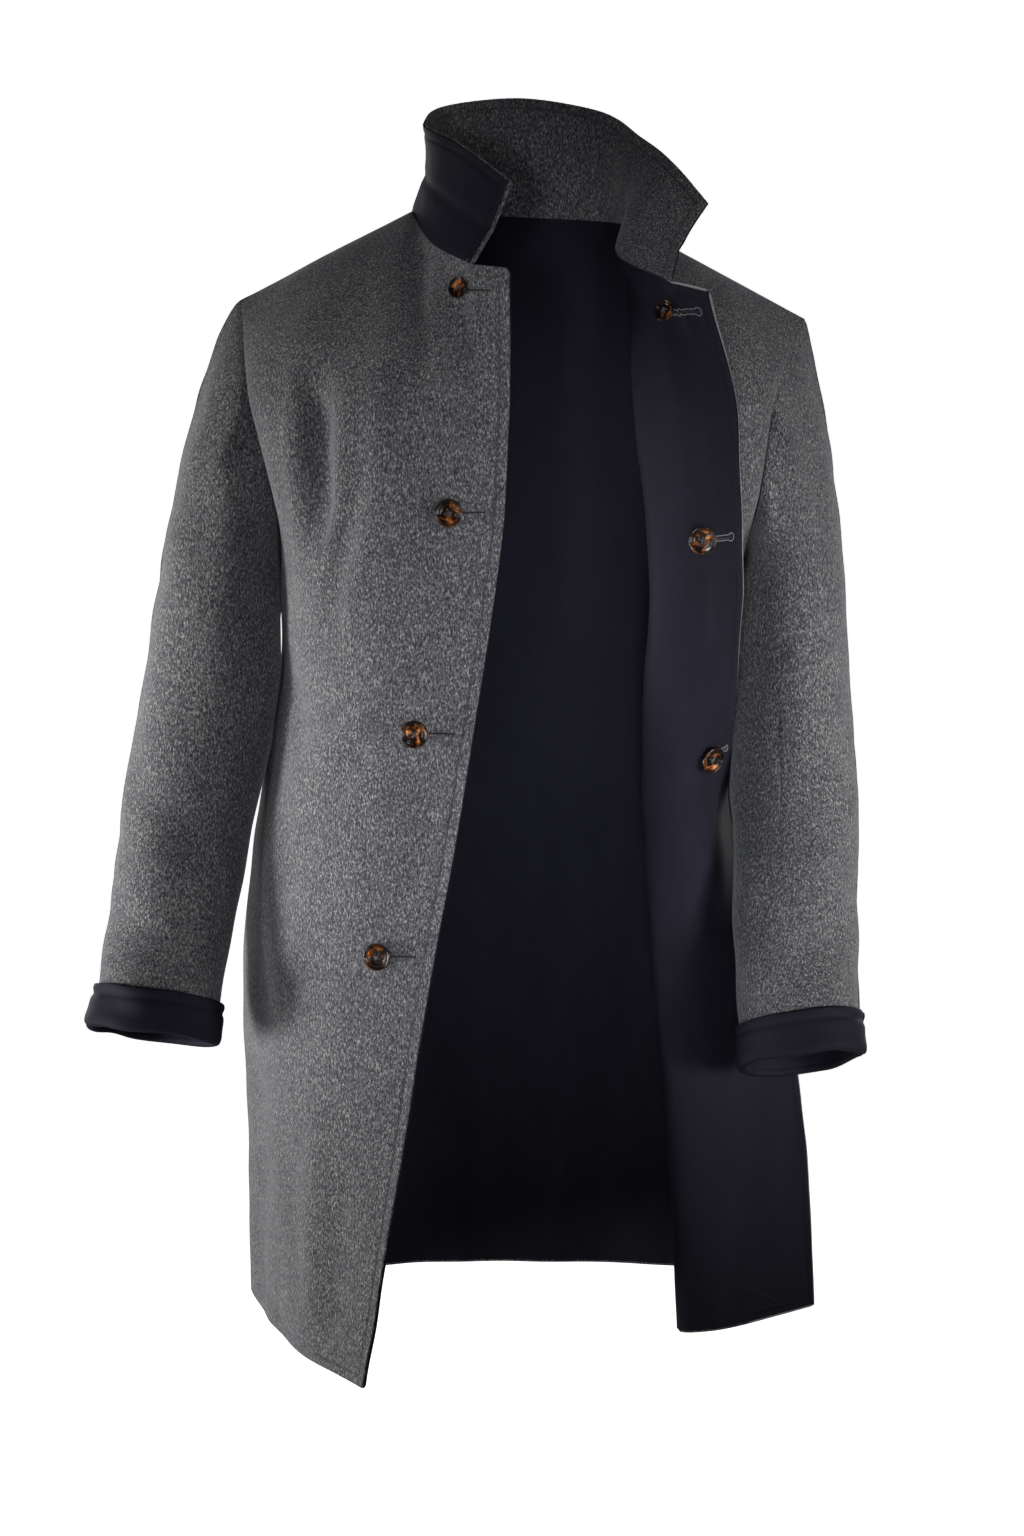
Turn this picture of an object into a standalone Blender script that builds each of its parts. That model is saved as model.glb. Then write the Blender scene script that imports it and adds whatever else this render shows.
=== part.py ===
"""Reversible overcoat, worn open with its collar up: grey wool outside, navy cloth inside.

Metres. X runs to the right of someone facing the front, the front looks towards -Y, Z is up.
The origin is the middle of the neck, level with the neck ends of the shoulder seams.
"right" and "left" in names are the wearer's.
"""

from collections import namedtuple

import bmesh
import bpy
import numpy as np
from mathutils import Matrix, Vector

for old in list(bpy.data.objects):
    bpy.data.objects.remove(old)

# Cloth
WOOL = 0.0016          # thickness of the wool layer
NAVY = 0.0011          # thickness of the navy layer
GAP = 0.0003           # between neighbouring pieces
LAYER_GAP = 0.0005     # between the wool and the navy
LIP = 0.0018           # wool that shows past the navy at a free edge
BOTH = WOOL + LAYER_GAP + NAVY
SHARP_SEAM = -0.1      # cosine below which two pieces at a seam keep their own directions

# Grid of the body: columns across a front, rows down it
TOP_EDGE_COLUMNS = 2   # front corner to collar end
NECK_COLUMNS = 6       # collar end to the neck end of the shoulder seam
SHOULDER_COLUMNS = 6   # along the shoulder seam
BACK_NECK_COLUMNS = 6  # across the back of the neck
YOKE_ROWS = 3          # neckline and shoulder seam to the chest
COLLAR_END, NECK_END = 0.12, 0.42    # how far across a front those columns lie
BACK_NECK_FROM = 0.31  # how far across the back its neckline starts
ROW_HEIGHTS = (-0.160, -0.195, -0.230, -0.258, -0.278, -0.290, -0.345, -0.405, -0.470,
               -0.545, -0.625, -0.710, -0.795, -0.880, -0.967)
UNDERARM_ROW = YOKE_ROWS + 5
UNDERARM = ROW_HEIGHTS[5]

# Sections of each panel, seen from above: (x, y) of the named places at a height.
# Above the underarm the seam column is the armhole.
RightRow = namedtuple("RightRow", "height edge breast flank seam")
RIGHT_FRONT = (
    RightRow(-0.160, (-0.011, -0.125), (-0.110, -0.134), (-0.190, -0.095), (-0.226, -0.040)),
    RightRow(-0.250, (-0.016, -0.133), (-0.115, -0.138), (-0.182, -0.092), (-0.205, -0.030)),
    RightRow(-0.290, (-0.021, -0.136), (-0.118, -0.138), (-0.186, -0.080), (-0.200, 0.024)),
    RightRow(-0.400, (-0.038, -0.142), (-0.125, -0.135), (-0.184, -0.072), (-0.207, 0.058)),
    RightRow(-0.500, (-0.054, -0.146), (-0.138, -0.136), (-0.206, -0.060), (-0.221, 0.070)),
    RightRow(-0.620, (-0.076, -0.150), (-0.155, -0.128), (-0.226, -0.040), (-0.236, 0.085)),
    RightRow(-0.800, (-0.106, -0.164), (-0.168, -0.113), (-0.228, -0.010), (-0.240, 0.098)),
    RightRow(-0.967, (-0.134, -0.176), (-0.184, -0.102), (-0.228, 0.010), (-0.241, 0.110)),
)
LeftRow = namedtuple("LeftRow", "height edge crest fold turn flank seam")
LEFT_FRONT = (
    LeftRow(-0.160, (0.175, -0.105), (0.140, -0.142), (0.094, -0.128), (0.112, -0.104),
            (0.165, -0.088), (0.208, -0.050)),
    LeftRow(-0.250, (0.179, -0.120), (0.146, -0.150), (0.104, -0.134), (0.118, -0.110),
            (0.164, -0.090), (0.194, -0.045)),
    LeftRow(-0.290, (0.180, -0.118), (0.146, -0.150), (0.108, -0.135), (0.120, -0.108),
            (0.164, -0.076), (0.187, 0.024)),
    LeftRow(-0.400, (0.177, -0.082), (0.142, -0.130), (0.102, -0.118), (0.120, -0.085),
            (0.160, -0.035), (0.181, 0.055)),
    LeftRow(-0.500, (0.178, 0.006), (0.140, -0.100), (0.104, -0.094), (0.124, -0.056),
            (0.160, 0.005), (0.192, 0.075)),
    LeftRow(-0.620, (0.214, 0.022), (0.146, -0.062), (0.114, -0.064), (0.132, -0.028),
            (0.176, 0.030), (0.214, 0.088)),
    LeftRow(-0.800, (0.250, 0.026), (0.160, -0.048), (0.130, -0.048), (0.146, -0.014),
            (0.188, 0.048), (0.226, 0.102)),
    LeftRow(-0.967, (0.262, 0.036), (0.168, -0.032), (0.140, -0.034), (0.152, -0.004),
            (0.190, 0.062), (0.227, 0.118)),
)
BackRow = namedtuple("BackRow", "height right blade_right centre blade_left left")
BACK = (
    BackRow(-0.160, (-0.222, 0.074), (-0.120, 0.118), (0.0, 0.126), (0.120, 0.118), (0.220, 0.074)),
    BackRow(-0.250, (-0.206, 0.068), (-0.125, 0.120), (0.0, 0.130), (0.125, 0.120), (0.202, 0.072)),
    BackRow(-0.290, (-0.200, 0.024), (-0.126, 0.118), (0.0, 0.130), (0.126, 0.118), (0.187, 0.024)),
    BackRow(-0.400, (-0.207, 0.058), (-0.124, 0.117), (0.0, 0.124), (0.122, 0.117), (0.181, 0.055)),
    BackRow(-0.500, (-0.221, 0.070), (-0.130, 0.124), (0.0, 0.128), (0.126, 0.124), (0.192, 0.075)),
    BackRow(-0.620, (-0.236, 0.085), (-0.140, 0.140), (0.0, 0.142), (0.134, 0.140), (0.214, 0.088)),
    BackRow(-0.800, (-0.240, 0.098), (-0.138, 0.148), (0.0, 0.152), (0.134, 0.148), (0.226, 0.102)),
    BackRow(-0.967, (-0.241, 0.110), (-0.136, 0.154), (0.0, 0.158), (0.132, 0.154), (0.227, 0.118)),
)

# Soft folds: how far across, height, half width (a share), half height, and how far the cloth rises
Fold = namedtuple("Fold", "across height wide tall rise")
RIGHT_FOLDS = (Fold(0.60, -0.225, 0.080, 0.065, -0.008), Fold(0.45, -0.250, 0.080, 0.090, 0.003),
               Fold(0.76, -0.400, 0.080, 0.060, -0.004), Fold(0.52, -0.085, 0.070, 0.045, 0.004),
               Fold(0.45, -0.900, 0.110, 0.180, 0.004))
LEFT_FOLDS = (Fold(0.25, -0.800, 0.110, 0.150, 0.003),)
BACK_FOLDS = (Fold(0.30, -0.800, 0.070, 0.280, -0.005), Fold(0.50, -0.850, 0.080, 0.250, 0.004),
              Fold(0.70, -0.800, 0.070, 0.280, -0.005))

# Top line of each front: front corner, collar end, neckline, neck end and tip of the shoulder
TopLine = namedtuple("TopLine", "corner collar_end neck side tip")
RIGHT_TOP = TopLine((-0.011, -0.118, -0.039), (-0.042, -0.107, -0.036), (-0.075, -0.058, -0.021),
                    (-0.093, 0.000, 0.004), (-0.239, 0.018, -0.071))
LEFT_TOP = TopLine((0.152, -0.100, -0.057), (0.121, -0.107, -0.050), (0.080, -0.066, -0.031),
                   (0.092, 0.000, -0.008), (0.240, 0.018, -0.087))
BACK_NECK = ((-0.072, 0.052, 0.001), (0.0, 0.076, -0.003), (0.072, 0.052, -0.006))
# How the cloth leaves that line: how far across, then forward (for a front) and up
FRONT_LEAVES = ((0.0, 0.005, -0.12), (COLLAR_END, 0.02, -0.12), (0.27, 0.06, -0.10),
                (NECK_END, 0.12, -0.05), (0.70, 0.13, 0.0), (1.0, 0.07, -0.05))
BACK_LEAVES = ((0.0, 0.07, -0.05), (0.19, 0.13, 0.0), (0.36, 0.12, -0.05), (0.5, 0.08, -0.12),
               (0.64, 0.12, -0.05), (0.81, 0.13, 0.0), (1.0, 0.07, -0.05))

# Upper edge of the stood-up collar, from the right front end round the neck to the left end
COLLAR_ROWS = 4
COLLAR_TOP = ((-0.009, -0.092, 0.030), (-0.052, -0.064, 0.060), (-0.082, -0.004, 0.078),
              (-0.066, 0.056, 0.090), (0.0, 0.084, 0.096), (0.068, 0.058, 0.085),
              (0.100, 0.010, 0.064), (0.127, -0.036, 0.041), (0.152, -0.064, 0.011))
NECK_MIDDLE = (0.0, -0.02, 0.0)
COLLAR_BOW = -0.006    # how far the middle of the collar stands out

# Sleeve rings: centre, half width, half depth, degrees leaned forward and outward
SleeveRow = namedtuple("SleeveRow", "height x y wide deep forward outward")
SLEEVE_RIGHT = (
    SleeveRow(-0.300, -0.2575, 0.004, 0.0505, 0.060, 0, 6),
    SleeveRow(-0.400, -0.2665, 0.004, 0.0580, 0.058, 4, 8),
    SleeveRow(-0.500, -0.2855, -0.012, 0.0565, 0.055, 13, 9),
    SleeveRow(-0.600, -0.301, -0.040, 0.053, 0.052, 18, 9),
    SleeveRow(-0.687, -0.3145, -0.070, 0.052, 0.050, 20, 9),
)
SLEEVE_LEFT = (
    SleeveRow(-0.300, 0.232, 0.004, 0.0425, 0.066, 0, 3),
    SleeveRow(-0.400, 0.234, 0.000, 0.047, 0.062, 5, 3),
    SleeveRow(-0.500, 0.2355, -0.028, 0.0515, 0.056, 16, 4),
    SleeveRow(-0.600, 0.232, -0.066, 0.053, 0.052, 23, 6),
    SleeveRow(-0.700, 0.236, -0.108, 0.049, 0.050, 25, 8),
)
CAP_LEAVES = {"right": (-0.085, 0.0, -0.085), "left": (0.03, 0.0, -0.10)}
UNDERARM_LEAVES = {"right": (-0.012, 0.0, -0.02), "left": (0.012, 0.0, -0.02)}
CAP_SPREAD = 0.03      # how far the cap swells to the front and the back
CAP_ROWS = 4
ARM_ROWS = 9
UNDER_SLEEVE = (5, 11)  # ring columns between which the under sleeve lies

# Turned-up cuff: its section, (out from the sleeve, up from the sleeve's end)
CUFF = ((0.0005, 0.0320), (0.0030, 0.0326), (0.0038, 0.0300), (0.0062, 0.0020), (0.0048, -0.0026),
        (0.0010, -0.0038), (-0.0028, -0.0030), (-0.0033, -0.0004), (0.0005, -0.0004))

# Buttons: (out from the middle, up from the cloth) of the turned section, for a radius of 1
BUTTON_SECTION = ((0.0, 0.06), (0.62, 0.06), (0.94, 0.18), (1.0, 0.27), (0.95, 0.36), (0.86, 0.37),
                  (0.74, 0.30), (0.0, 0.26))
BUTTON_SIDES = 20
BUTTON_HOLE = (0.26, 0.11)           # hole circle and hole radius, for a radius of 1
BUTTON_LIFT = 0.0015
ButtonRow = namedtuple("ButtonRow", "name front height radius from_edge")
BUTTONS = (
    ButtonRow("button_right_1", "right", -0.057, 0.0098, 0.047),
    ButtonRow("button_right_2", "right", -0.235, 0.0125, 0.047),
    ButtonRow("button_right_3", "right", -0.416, 0.0125, 0.047),
    ButtonRow("button_right_4", "right", -0.603, 0.0125, 0.047),
    ButtonRow("button_left_1", "left", -0.075, 0.0098, 0.047),
    ButtonRow("button_left_2", "left", -0.255, 0.0125, 0.047),
    ButtonRow("button_left_3", "left", -0.441, 0.0125, 0.055),
    ButtonRow("button_left_4", "left", -0.612, 0.0125, 0.047),
)

COLOURS = {"wool": (0.115, 0.118, 0.128, 1.0), "navy": (0.011, 0.012, 0.020, 1.0),
           "horn": (0.030, 0.014, 0.006, 1.0)}
ROUGHNESS = {"wool": 0.95, "navy": 0.55, "horn": 0.25}


def through(knots, values, at):
    """A smooth curve through the values at the knots, read at each place in at."""
    knots, values, at = np.asarray(knots, float), np.asarray(values, float), np.atleast_1d(at)
    slopes = np.gradient(values, knots, axis=0)
    i = np.clip(np.searchsorted(knots, at, side="right") - 1, 0, len(knots) - 2)
    span = knots[i + 1] - knots[i]
    shape = (-1,) + (1,) * (values.ndim - 1)
    return hermite(values[i], slopes[i] * span.reshape(shape), values[i + 1],
                   slopes[i + 1] * span.reshape(shape), ((at - knots[i]) / span).reshape(shape))


def hermite(start, leave, end, arrive, t):
    return ((2 * t**3 - 3 * t**2 + 1) * start + (t**3 - 2 * t**2 + t) * leave
            + (3 * t**2 - 2 * t**3) * end + (t**3 - t**2) * arrive)


def along(points, shares, first=0, last=-1):
    """Points at shares of the length of a smooth curve, from its first to its last given point."""
    points = np.asarray(points, float)
    steps = np.sqrt(np.linalg.norm(np.diff(points, axis=0), axis=1))
    knots = np.concatenate([[0], np.cumsum(steps)])
    fine = through(knots, points, np.linspace(knots[first], knots[last], 240))
    run = np.concatenate([[0], np.cumsum(np.linalg.norm(np.diff(fine, axis=0), axis=1))])
    return np.stack([np.interp(np.asarray(shares) * run[-1], run, axis) for axis in fine.T], axis=1)


Sections = namedtuple("Sections", "heights places first last seams")


def sections():
    """The tables of the three panels, each led on past its seams into the neighbouring panel."""
    heights = np.array([-row.height for row in BACK])
    right = [[*row[1:], back.blade_right] for row, back in zip(RIGHT_FRONT, BACK)]
    left = [[*row[1:], back.blade_left] for row, back in zip(LEFT_FRONT, BACK)]
    back = [[one.flank, *row[1:], other.flank] for one, row, other in zip(RIGHT_FRONT, BACK, LEFT_FRONT)]
    return (Sections(heights, np.array(right), 0, -2, [-2]),
            Sections(heights, np.array(left), 0, -2, [-2]),
            Sections(heights, np.array(back), 1, -2, [1, -2]))


def section(table, height, shares):
    """Points across a panel at one height."""
    places = through(table.heights, table.places, -height)[0]
    part = table.heights >= -UNDERARM if height <= UNDERARM else table.heights <= -UNDERARM
    places[table.seams] = through(table.heights[part], table.places[part][:, table.seams], -height)[0]
    flat = along(places, shares, table.first, table.last)
    return np.column_stack([flat, np.full(len(flat), height)])


def panel(table, top, leaves, forward, shares):
    """Grid of a panel: rows from its top line to the hem, columns at the given shares across."""
    chest = section(table, ROW_HEIGHTS[0], shares)
    step = 0.004
    below = (section(table, ROW_HEIGHTS[0] - step, shares) - chest) / step
    drop = (top[:, 2] - ROW_HEIGHTS[0])[:, None]
    away = through([row[0] for row in leaves], [row[1:] for row in leaves], shares)
    leave = np.column_stack([chest[:, 0] - top[:, 0], forward * away[:, 0], away[:, 1]])
    grid = [hermite(top, leave, chest, below * drop, row / YOKE_ROWS) for row in range(YOKE_ROWS)]
    grid += [section(table, height, shares) for height in ROW_HEIGHTS]
    return np.array(grid)


def folded(piece, folds, shares, seams):
    """The grid with its soft folds raised along its normals, at rest on the seams."""
    grid, normal = piece
    rise = np.zeros(grid.shape[:2])
    for fold in folds:
        rise += fold.rise * np.exp(-((shares - fold.across) / fold.wide)**2
                                   - ((grid[:, :, 2] - fold.height) / fold.tall)**2)
    for column in seams:
        rise[:, column] = 0
    rise[0] = 0
    return grid + normal * rise[:, :, None]


def front_shares():
    return np.concatenate([np.linspace(0, COLLAR_END, TOP_EDGE_COLUMNS + 1),
                           np.linspace(COLLAR_END, NECK_END, NECK_COLUMNS + 1)[1:],
                           np.linspace(NECK_END, 1, SHOULDER_COLUMNS + 1)[1:]])


def neckline(top):
    return along([top.collar_end, top.neck, top.side], np.linspace(0, 1, NECK_COLUMNS + 1))


def shoulder(top):
    return along([top.side, top.tip], np.linspace(0, 1, SHOULDER_COLUMNS + 1))


def back_neck():
    return along([RIGHT_TOP.side, *BACK_NECK, LEFT_TOP.side], np.linspace(0, 1, BACK_NECK_COLUMNS + 1))


def front_top(top):
    edge = along([top.corner, top.collar_end], np.linspace(0, 1, TOP_EDGE_COLUMNS + 1))
    return np.concatenate([edge[:-1], neckline(top)[:-1], shoulder(top)])


def back_shares():
    return np.concatenate([np.linspace(0, BACK_NECK_FROM, SHOULDER_COLUMNS + 1),
                           np.linspace(BACK_NECK_FROM, 1 - BACK_NECK_FROM, BACK_NECK_COLUMNS + 1)[1:],
                           np.linspace(1 - BACK_NECK_FROM, 1, SHOULDER_COLUMNS + 1)[1:]])


def body_grids():
    shares, across_back = front_shares(), back_shares()
    right_table, left_table, back_table = sections()
    right = panel(right_table, front_top(RIGHT_TOP), FRONT_LEAVES, -1, shares)
    left = panel(left_table, front_top(LEFT_TOP), FRONT_LEAVES, -1, shares)
    top = np.concatenate([shoulder(RIGHT_TOP)[::-1][:-1], back_neck(), shoulder(LEFT_TOP)[1:]])
    back = panel(back_table, top, BACK_LEAVES, 1, across_back)
    back[UNDERARM_ROW:, 0] = right[UNDERARM_ROW:, -1]
    back[UNDERARM_ROW:, -1] = left[UNDERARM_ROW:, -1]
    return (folded((right, facing(right, 1)), RIGHT_FOLDS, shares, [-1]),
            folded((left, facing(left, -1)), LEFT_FOLDS, shares, [-1]),
            folded((back, facing(back, 1)), BACK_FOLDS, across_back, [0, -1]))


def collar_grid():
    base = np.concatenate([neckline(RIGHT_TOP)[:-1], back_neck(), neckline(LEFT_TOP)[::-1][1:]])
    knots = [0, 0.5 * NECK_COLUMNS, NECK_COLUMNS]
    knots += [NECK_COLUMNS + BACK_NECK_COLUMNS * share for share in (0.25, 0.5, 0.75, 1.0)]
    knots += [knots[-1] + 0.5 * NECK_COLUMNS, knots[-1] + NECK_COLUMNS]
    top = through(knots, COLLAR_TOP, np.arange(len(base)))
    out = base - np.array(NECK_MIDDLE)
    out[:, 2] = 0
    out /= np.linalg.norm(out, axis=1)[:, None]
    rows = np.linspace(0, 1, COLLAR_ROWS + 1)
    return np.array([base + (top - base) * row + out * COLLAR_BOW * np.sin(np.pi * row) for row in rows])


def sleeve_grid(side, rows, front, back):
    """Grid of a sleeve, columns round it from the top by the front, the underarm and the back."""
    armhole = np.concatenate([front[:UNDERARM_ROW + 1, -1], back[:UNDERARM_ROW][::-1]])
    count = len(armhole) - 1
    turn = np.linspace(0, 2 * np.pi, count + 1)
    sign = -1 if side == "right" else 1
    heights = np.linspace(rows[0].height, rows[-1].height, ARM_ROWS + 1)
    table = through([-row.height for row in rows], [row[1:] for row in rows], -heights)
    rings = []
    for height, (x, y, wide, deep, forward, outward) in zip(heights, table):
        ahead, aside = np.radians(forward), np.radians(outward)
        lateral = np.array([sign * np.cos(aside), 0, np.sin(aside)])
        depth = np.array([0, -np.cos(ahead), np.sin(ahead)])
        rings.append(np.array([x, y, height]) + wide * np.cos(turn)[:, None] * lateral
                     + deep * np.sin(turn)[:, None] * depth)
    low = ((1 - np.cos(turn)) / 2)[:, None]
    leave = (1 - low) * np.array(CAP_LEAVES[side]) + low * np.array(UNDERARM_LEAVES[side])
    leave[:, 1] -= CAP_SPREAD * np.sin(turn)
    drop = (armhole[:, 2] - rings[0][:, 2])[:, None]
    arrive = (rings[1] - rings[0]) / (heights[0] - heights[1]) * drop
    cap = [hermite(armhole, leave, rings[0], arrive, row / CAP_ROWS) for row in range(CAP_ROWS)]
    return np.array(cap + rings)


def facing(grid, sign, ring=False):
    """Outward unit normals of a grid. A ring's last column is its first one again."""
    padded = np.concatenate([grid[:, -2:-1], grid, grid[:, 1:2]], axis=1) if ring else grid
    normal = sign * np.cross(np.gradient(padded, axis=1), np.gradient(padded, axis=0))
    normal = normal[:, 1:-1] if ring else normal
    return normal / np.linalg.norm(normal, axis=2)[:, :, None]


def share_normals(pieces):
    """Makes the pieces that meet at a seam lean the same way there, unless the seam is a sharp one."""
    meeting = {}
    for grid, normal in pieces:
        for place in np.ndindex(grid.shape[:2]):
            meeting.setdefault(tuple(np.round(grid[place], 5)), []).append((normal, place))
    for found in meeting.values():
        all_ways = np.array([normal[place] for normal, place in found])
        for (normal, place), way in zip(found, all_ways.copy()):
            shared = all_ways[all_ways @ way > SHARP_SEAM].sum(axis=0)
            normal[place] = shared / np.linalg.norm(shared)


def pulled(grid, top, bottom, first, last):
    """The grid with its borders drawn in by these distances."""
    def toward(inner, border):
        step = inner - border
        return step / np.linalg.norm(step, axis=-1)[:, None]

    moved = grid.copy()
    moved[0] += top * toward(grid[1], grid[0])
    moved[-1] += bottom * toward(grid[-2], grid[-1])
    moved[:, 0] += first * toward(grid[:, 1], grid[:, 0])
    moved[:, -1] += last * toward(grid[:, -2], grid[:, -1])
    return moved


def material(name):
    made = bpy.data.materials.get(name) or bpy.data.materials.new(name)
    made.use_nodes = True
    shader = made.node_tree.nodes["Principled BSDF"]
    shader.inputs["Base Color"].default_value = COLOURS[name]
    shader.inputs["Roughness"].default_value = ROUGHNESS[name]
    return made


def add_object(name, work, cloth):
    bmesh.ops.recalc_face_normals(work, faces=work.faces)
    mesh = bpy.data.meshes.new(name)
    work.to_mesh(mesh)
    work.free()
    mesh.materials.append(material(cloth))
    made = bpy.data.objects.new(name, mesh)
    bpy.context.scene.collection.objects.link(made)
    return made


def wall(name, piece, depths, pulls, cloth):
    """A closed wall between two depths behind the outer face of a grid."""
    grid, normal = piece
    rows, columns = grid.shape[:2]
    work = bmesh.new()
    near, far = ([[work.verts.new(point) for point in row]
                  for row in pulled(grid - normal * depth, *pulls)] for depth in depths)
    for r in range(rows - 1):
        for c in range(columns - 1):
            corners = [(r, c), (r, c + 1), (r + 1, c + 1), (r + 1, c)]
            longer = (np.linalg.norm(grid[r, c] - grid[r + 1, c + 1])
                      > np.linalg.norm(grid[r, c + 1] - grid[r + 1, c]))
            corners = corners[1:] + corners[:1] if longer else corners
            for layer, step in ((near, 1), (far, -1)):
                for three in (corners[:3], [corners[0], *corners[2:]]):
                    work.faces.new([layer[i][j] for i, j in three[::step]])
    border = ([(0, c) for c in range(columns)] + [(r, columns - 1) for r in range(1, rows)]
              + [(rows - 1, c) for c in range(columns - 2, -1, -1)]
              + [(r, 0) for r in range(rows - 2, 0, -1)])
    for a, b in zip(border, border[1:] + border[:1]):
        if tuple(grid[a]) < tuple(grid[b]):
            a, b = b, a
        (i, j), (k, l) = a, b
        work.faces.new([far[i][j], far[k][l], near[i][j]])
        work.faces.new([far[k][l], near[k][l], near[i][j]])
    return add_object(name, work, cloth)


def cuff(name, grid, normal):
    """The turned-up end of a sleeve, its section carried round the sleeve's last ring."""
    up = grid[-2] - grid[-1]
    up /= np.linalg.norm(up, axis=1)[:, None]
    work = bmesh.new()
    rings = [[work.verts.new(grid[-1, c] + normal[-1, c] * out + up[c] * rise) for out, rise in CUFF]
             for c in range(grid.shape[1] - 1)]
    for here, after in zip(rings, rings[1:] + rings[:1]):
        for k in range(len(CUFF)):
            n = (k + 1) % len(CUFF)
            work.faces.new([here[k], here[n], after[n], after[k]])
    return add_object(name, work, "navy")


def button_mesh(radius):
    """A turned button with four holes, its middle at the origin and its face up."""
    work = bmesh.new()
    points = [work.verts.new((out * radius, 0, up * radius)) for out, up in BUTTON_SECTION]
    lines = [work.edges.new(pair) for pair in zip(points, points[1:])]
    bmesh.ops.spin(work, geom=points + lines, cent=(0, 0, 0), axis=(0, 0, 1), steps=BUTTON_SIDES,
                   angle=2 * np.pi, use_merge=True)
    bmesh.ops.remove_doubles(work, verts=work.verts, dist=1e-5)
    blank = add_object("button_blank", work, "horn")
    work = bmesh.new()
    circle, hole = (size * radius for size in BUTTON_HOLE)
    for turn in range(4):
        spot = Matrix.Rotation((turn + 0.5) * np.pi / 2, 4, "Z") @ Matrix.Translation((circle, 0, 0))
        bmesh.ops.create_cone(work, cap_ends=True, segments=8, radius1=hole, radius2=hole,
                              depth=radius, matrix=spot)
    cutter = add_object("button_holes", work, "horn")
    cut = blank.modifiers.new("holes", "BOOLEAN")
    cut.object, cut.solver = cutter, "EXACT"
    bpy.context.view_layer.update()
    mesh = bpy.data.meshes.new_from_object(blank.evaluated_get(bpy.context.evaluated_depsgraph_get()))
    bpy.data.objects.remove(blank)
    bpy.data.objects.remove(cutter)
    return mesh


def at_height(grid, values, height):
    """Values along the line where a grid crosses a height, one for each column."""
    return np.array([[np.interp(-height, -grid[:, c, 2], values[:, c, axis]) for axis in range(3)]
                     for c in range(grid.shape[1])])


def place_button(row, piece, mesh):
    grid, normal = piece
    line, ways = at_height(grid, grid, row.height), at_height(grid, normal, row.height)
    run = np.concatenate([[0], np.cumsum(np.linalg.norm(np.diff(line, axis=0), axis=1))])
    spot, way = (np.array([np.interp(row.from_edge, run, v[:, axis]) for axis in range(3)])
                 for v in (line, ways))
    outer = row.front == "right"
    way = way / np.linalg.norm(way) * (1 if outer else -1)
    spot = spot + way * (BUTTON_LIFT + (0 if outer else BOTH))
    turn = Vector(way).to_track_quat("Z", "Y").to_matrix().to_4x4()
    made = bpy.data.objects.new(row.name, mesh)
    made.matrix_world = Matrix.Translation(spot) @ turn
    bpy.context.scene.collection.objects.link(made)


def build():
    right, left, back = body_grids()
    collar = collar_grid()
    sleeve_right = sleeve_grid("right", SLEEVE_RIGHT, right, back[:, 0])
    sleeve_left = sleeve_grid("left", SLEEVE_LEFT, left, back[:, -1])
    front_right, front_left = (right, facing(right, 1)), (left, facing(left, -1))
    back_panel, collar = (back, facing(back, 1)), (collar, facing(collar, -1))
    sleeves = {"right": (sleeve_right, facing(sleeve_right, -1, ring=True)),
               "left": (sleeve_left, facing(sleeve_left, 1, ring=True))}
    share_normals([front_right, front_left, back_panel, collar, *sleeves.values()])

    seam = GAP / 2
    wool, navy, whole = (0, WOOL), (WOOL + LAYER_GAP, BOTH), (0, BOTH)
    wall("front_right_wool", front_right, wool, (seam, 0, 0, seam), "wool")
    wall("front_right_navy", front_right, navy, (seam, LIP, LIP, seam), "navy")
    wall("front_left_wool", front_left, wool, (seam, 0, 0, seam), "wool")
    wall("front_left_navy", front_left, navy, (seam, LIP, LIP, seam), "navy")
    wall("back_wool", back_panel, wool, (seam, 0, seam, seam), "wool")
    wall("back_navy", back_panel, navy, (seam, LIP, seam, seam), "navy")
    wall("collar_navy", collar, (0, NAVY), (seam, 0, 0, 0), "navy")
    wall("collar_wool", collar, (NAVY + LAYER_GAP, BOTH), (seam, 0, 0, 0), "wool")
    start, end = UNDER_SLEEVE
    for side, (grid, normal) in sleeves.items():
        under = grid[:, start:end + 1], normal[:, start:end + 1]
        over = tuple(np.concatenate([v[:, end:-1], v[:, :start + 1]], axis=1) for v in (grid, normal))
        wall(f"sleeve_{side}_top", over, whole, (seam, 0, seam, seam), "wool")
        wall(f"sleeve_{side}_under", under, whole, (seam, 0, seam, seam), "wool")
        cuff(f"cuff_{side}", grid, normal)
    meshes = {radius: button_mesh(radius) for radius in sorted({row.radius for row in BUTTONS})}
    for row in BUTTONS:
        place_button(row, front_right if row.front == "right" else front_left, meshes[row.radius])


build()
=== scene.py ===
import math

import bpy
import numpy as np
from mathutils import Matrix, Vector


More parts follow.
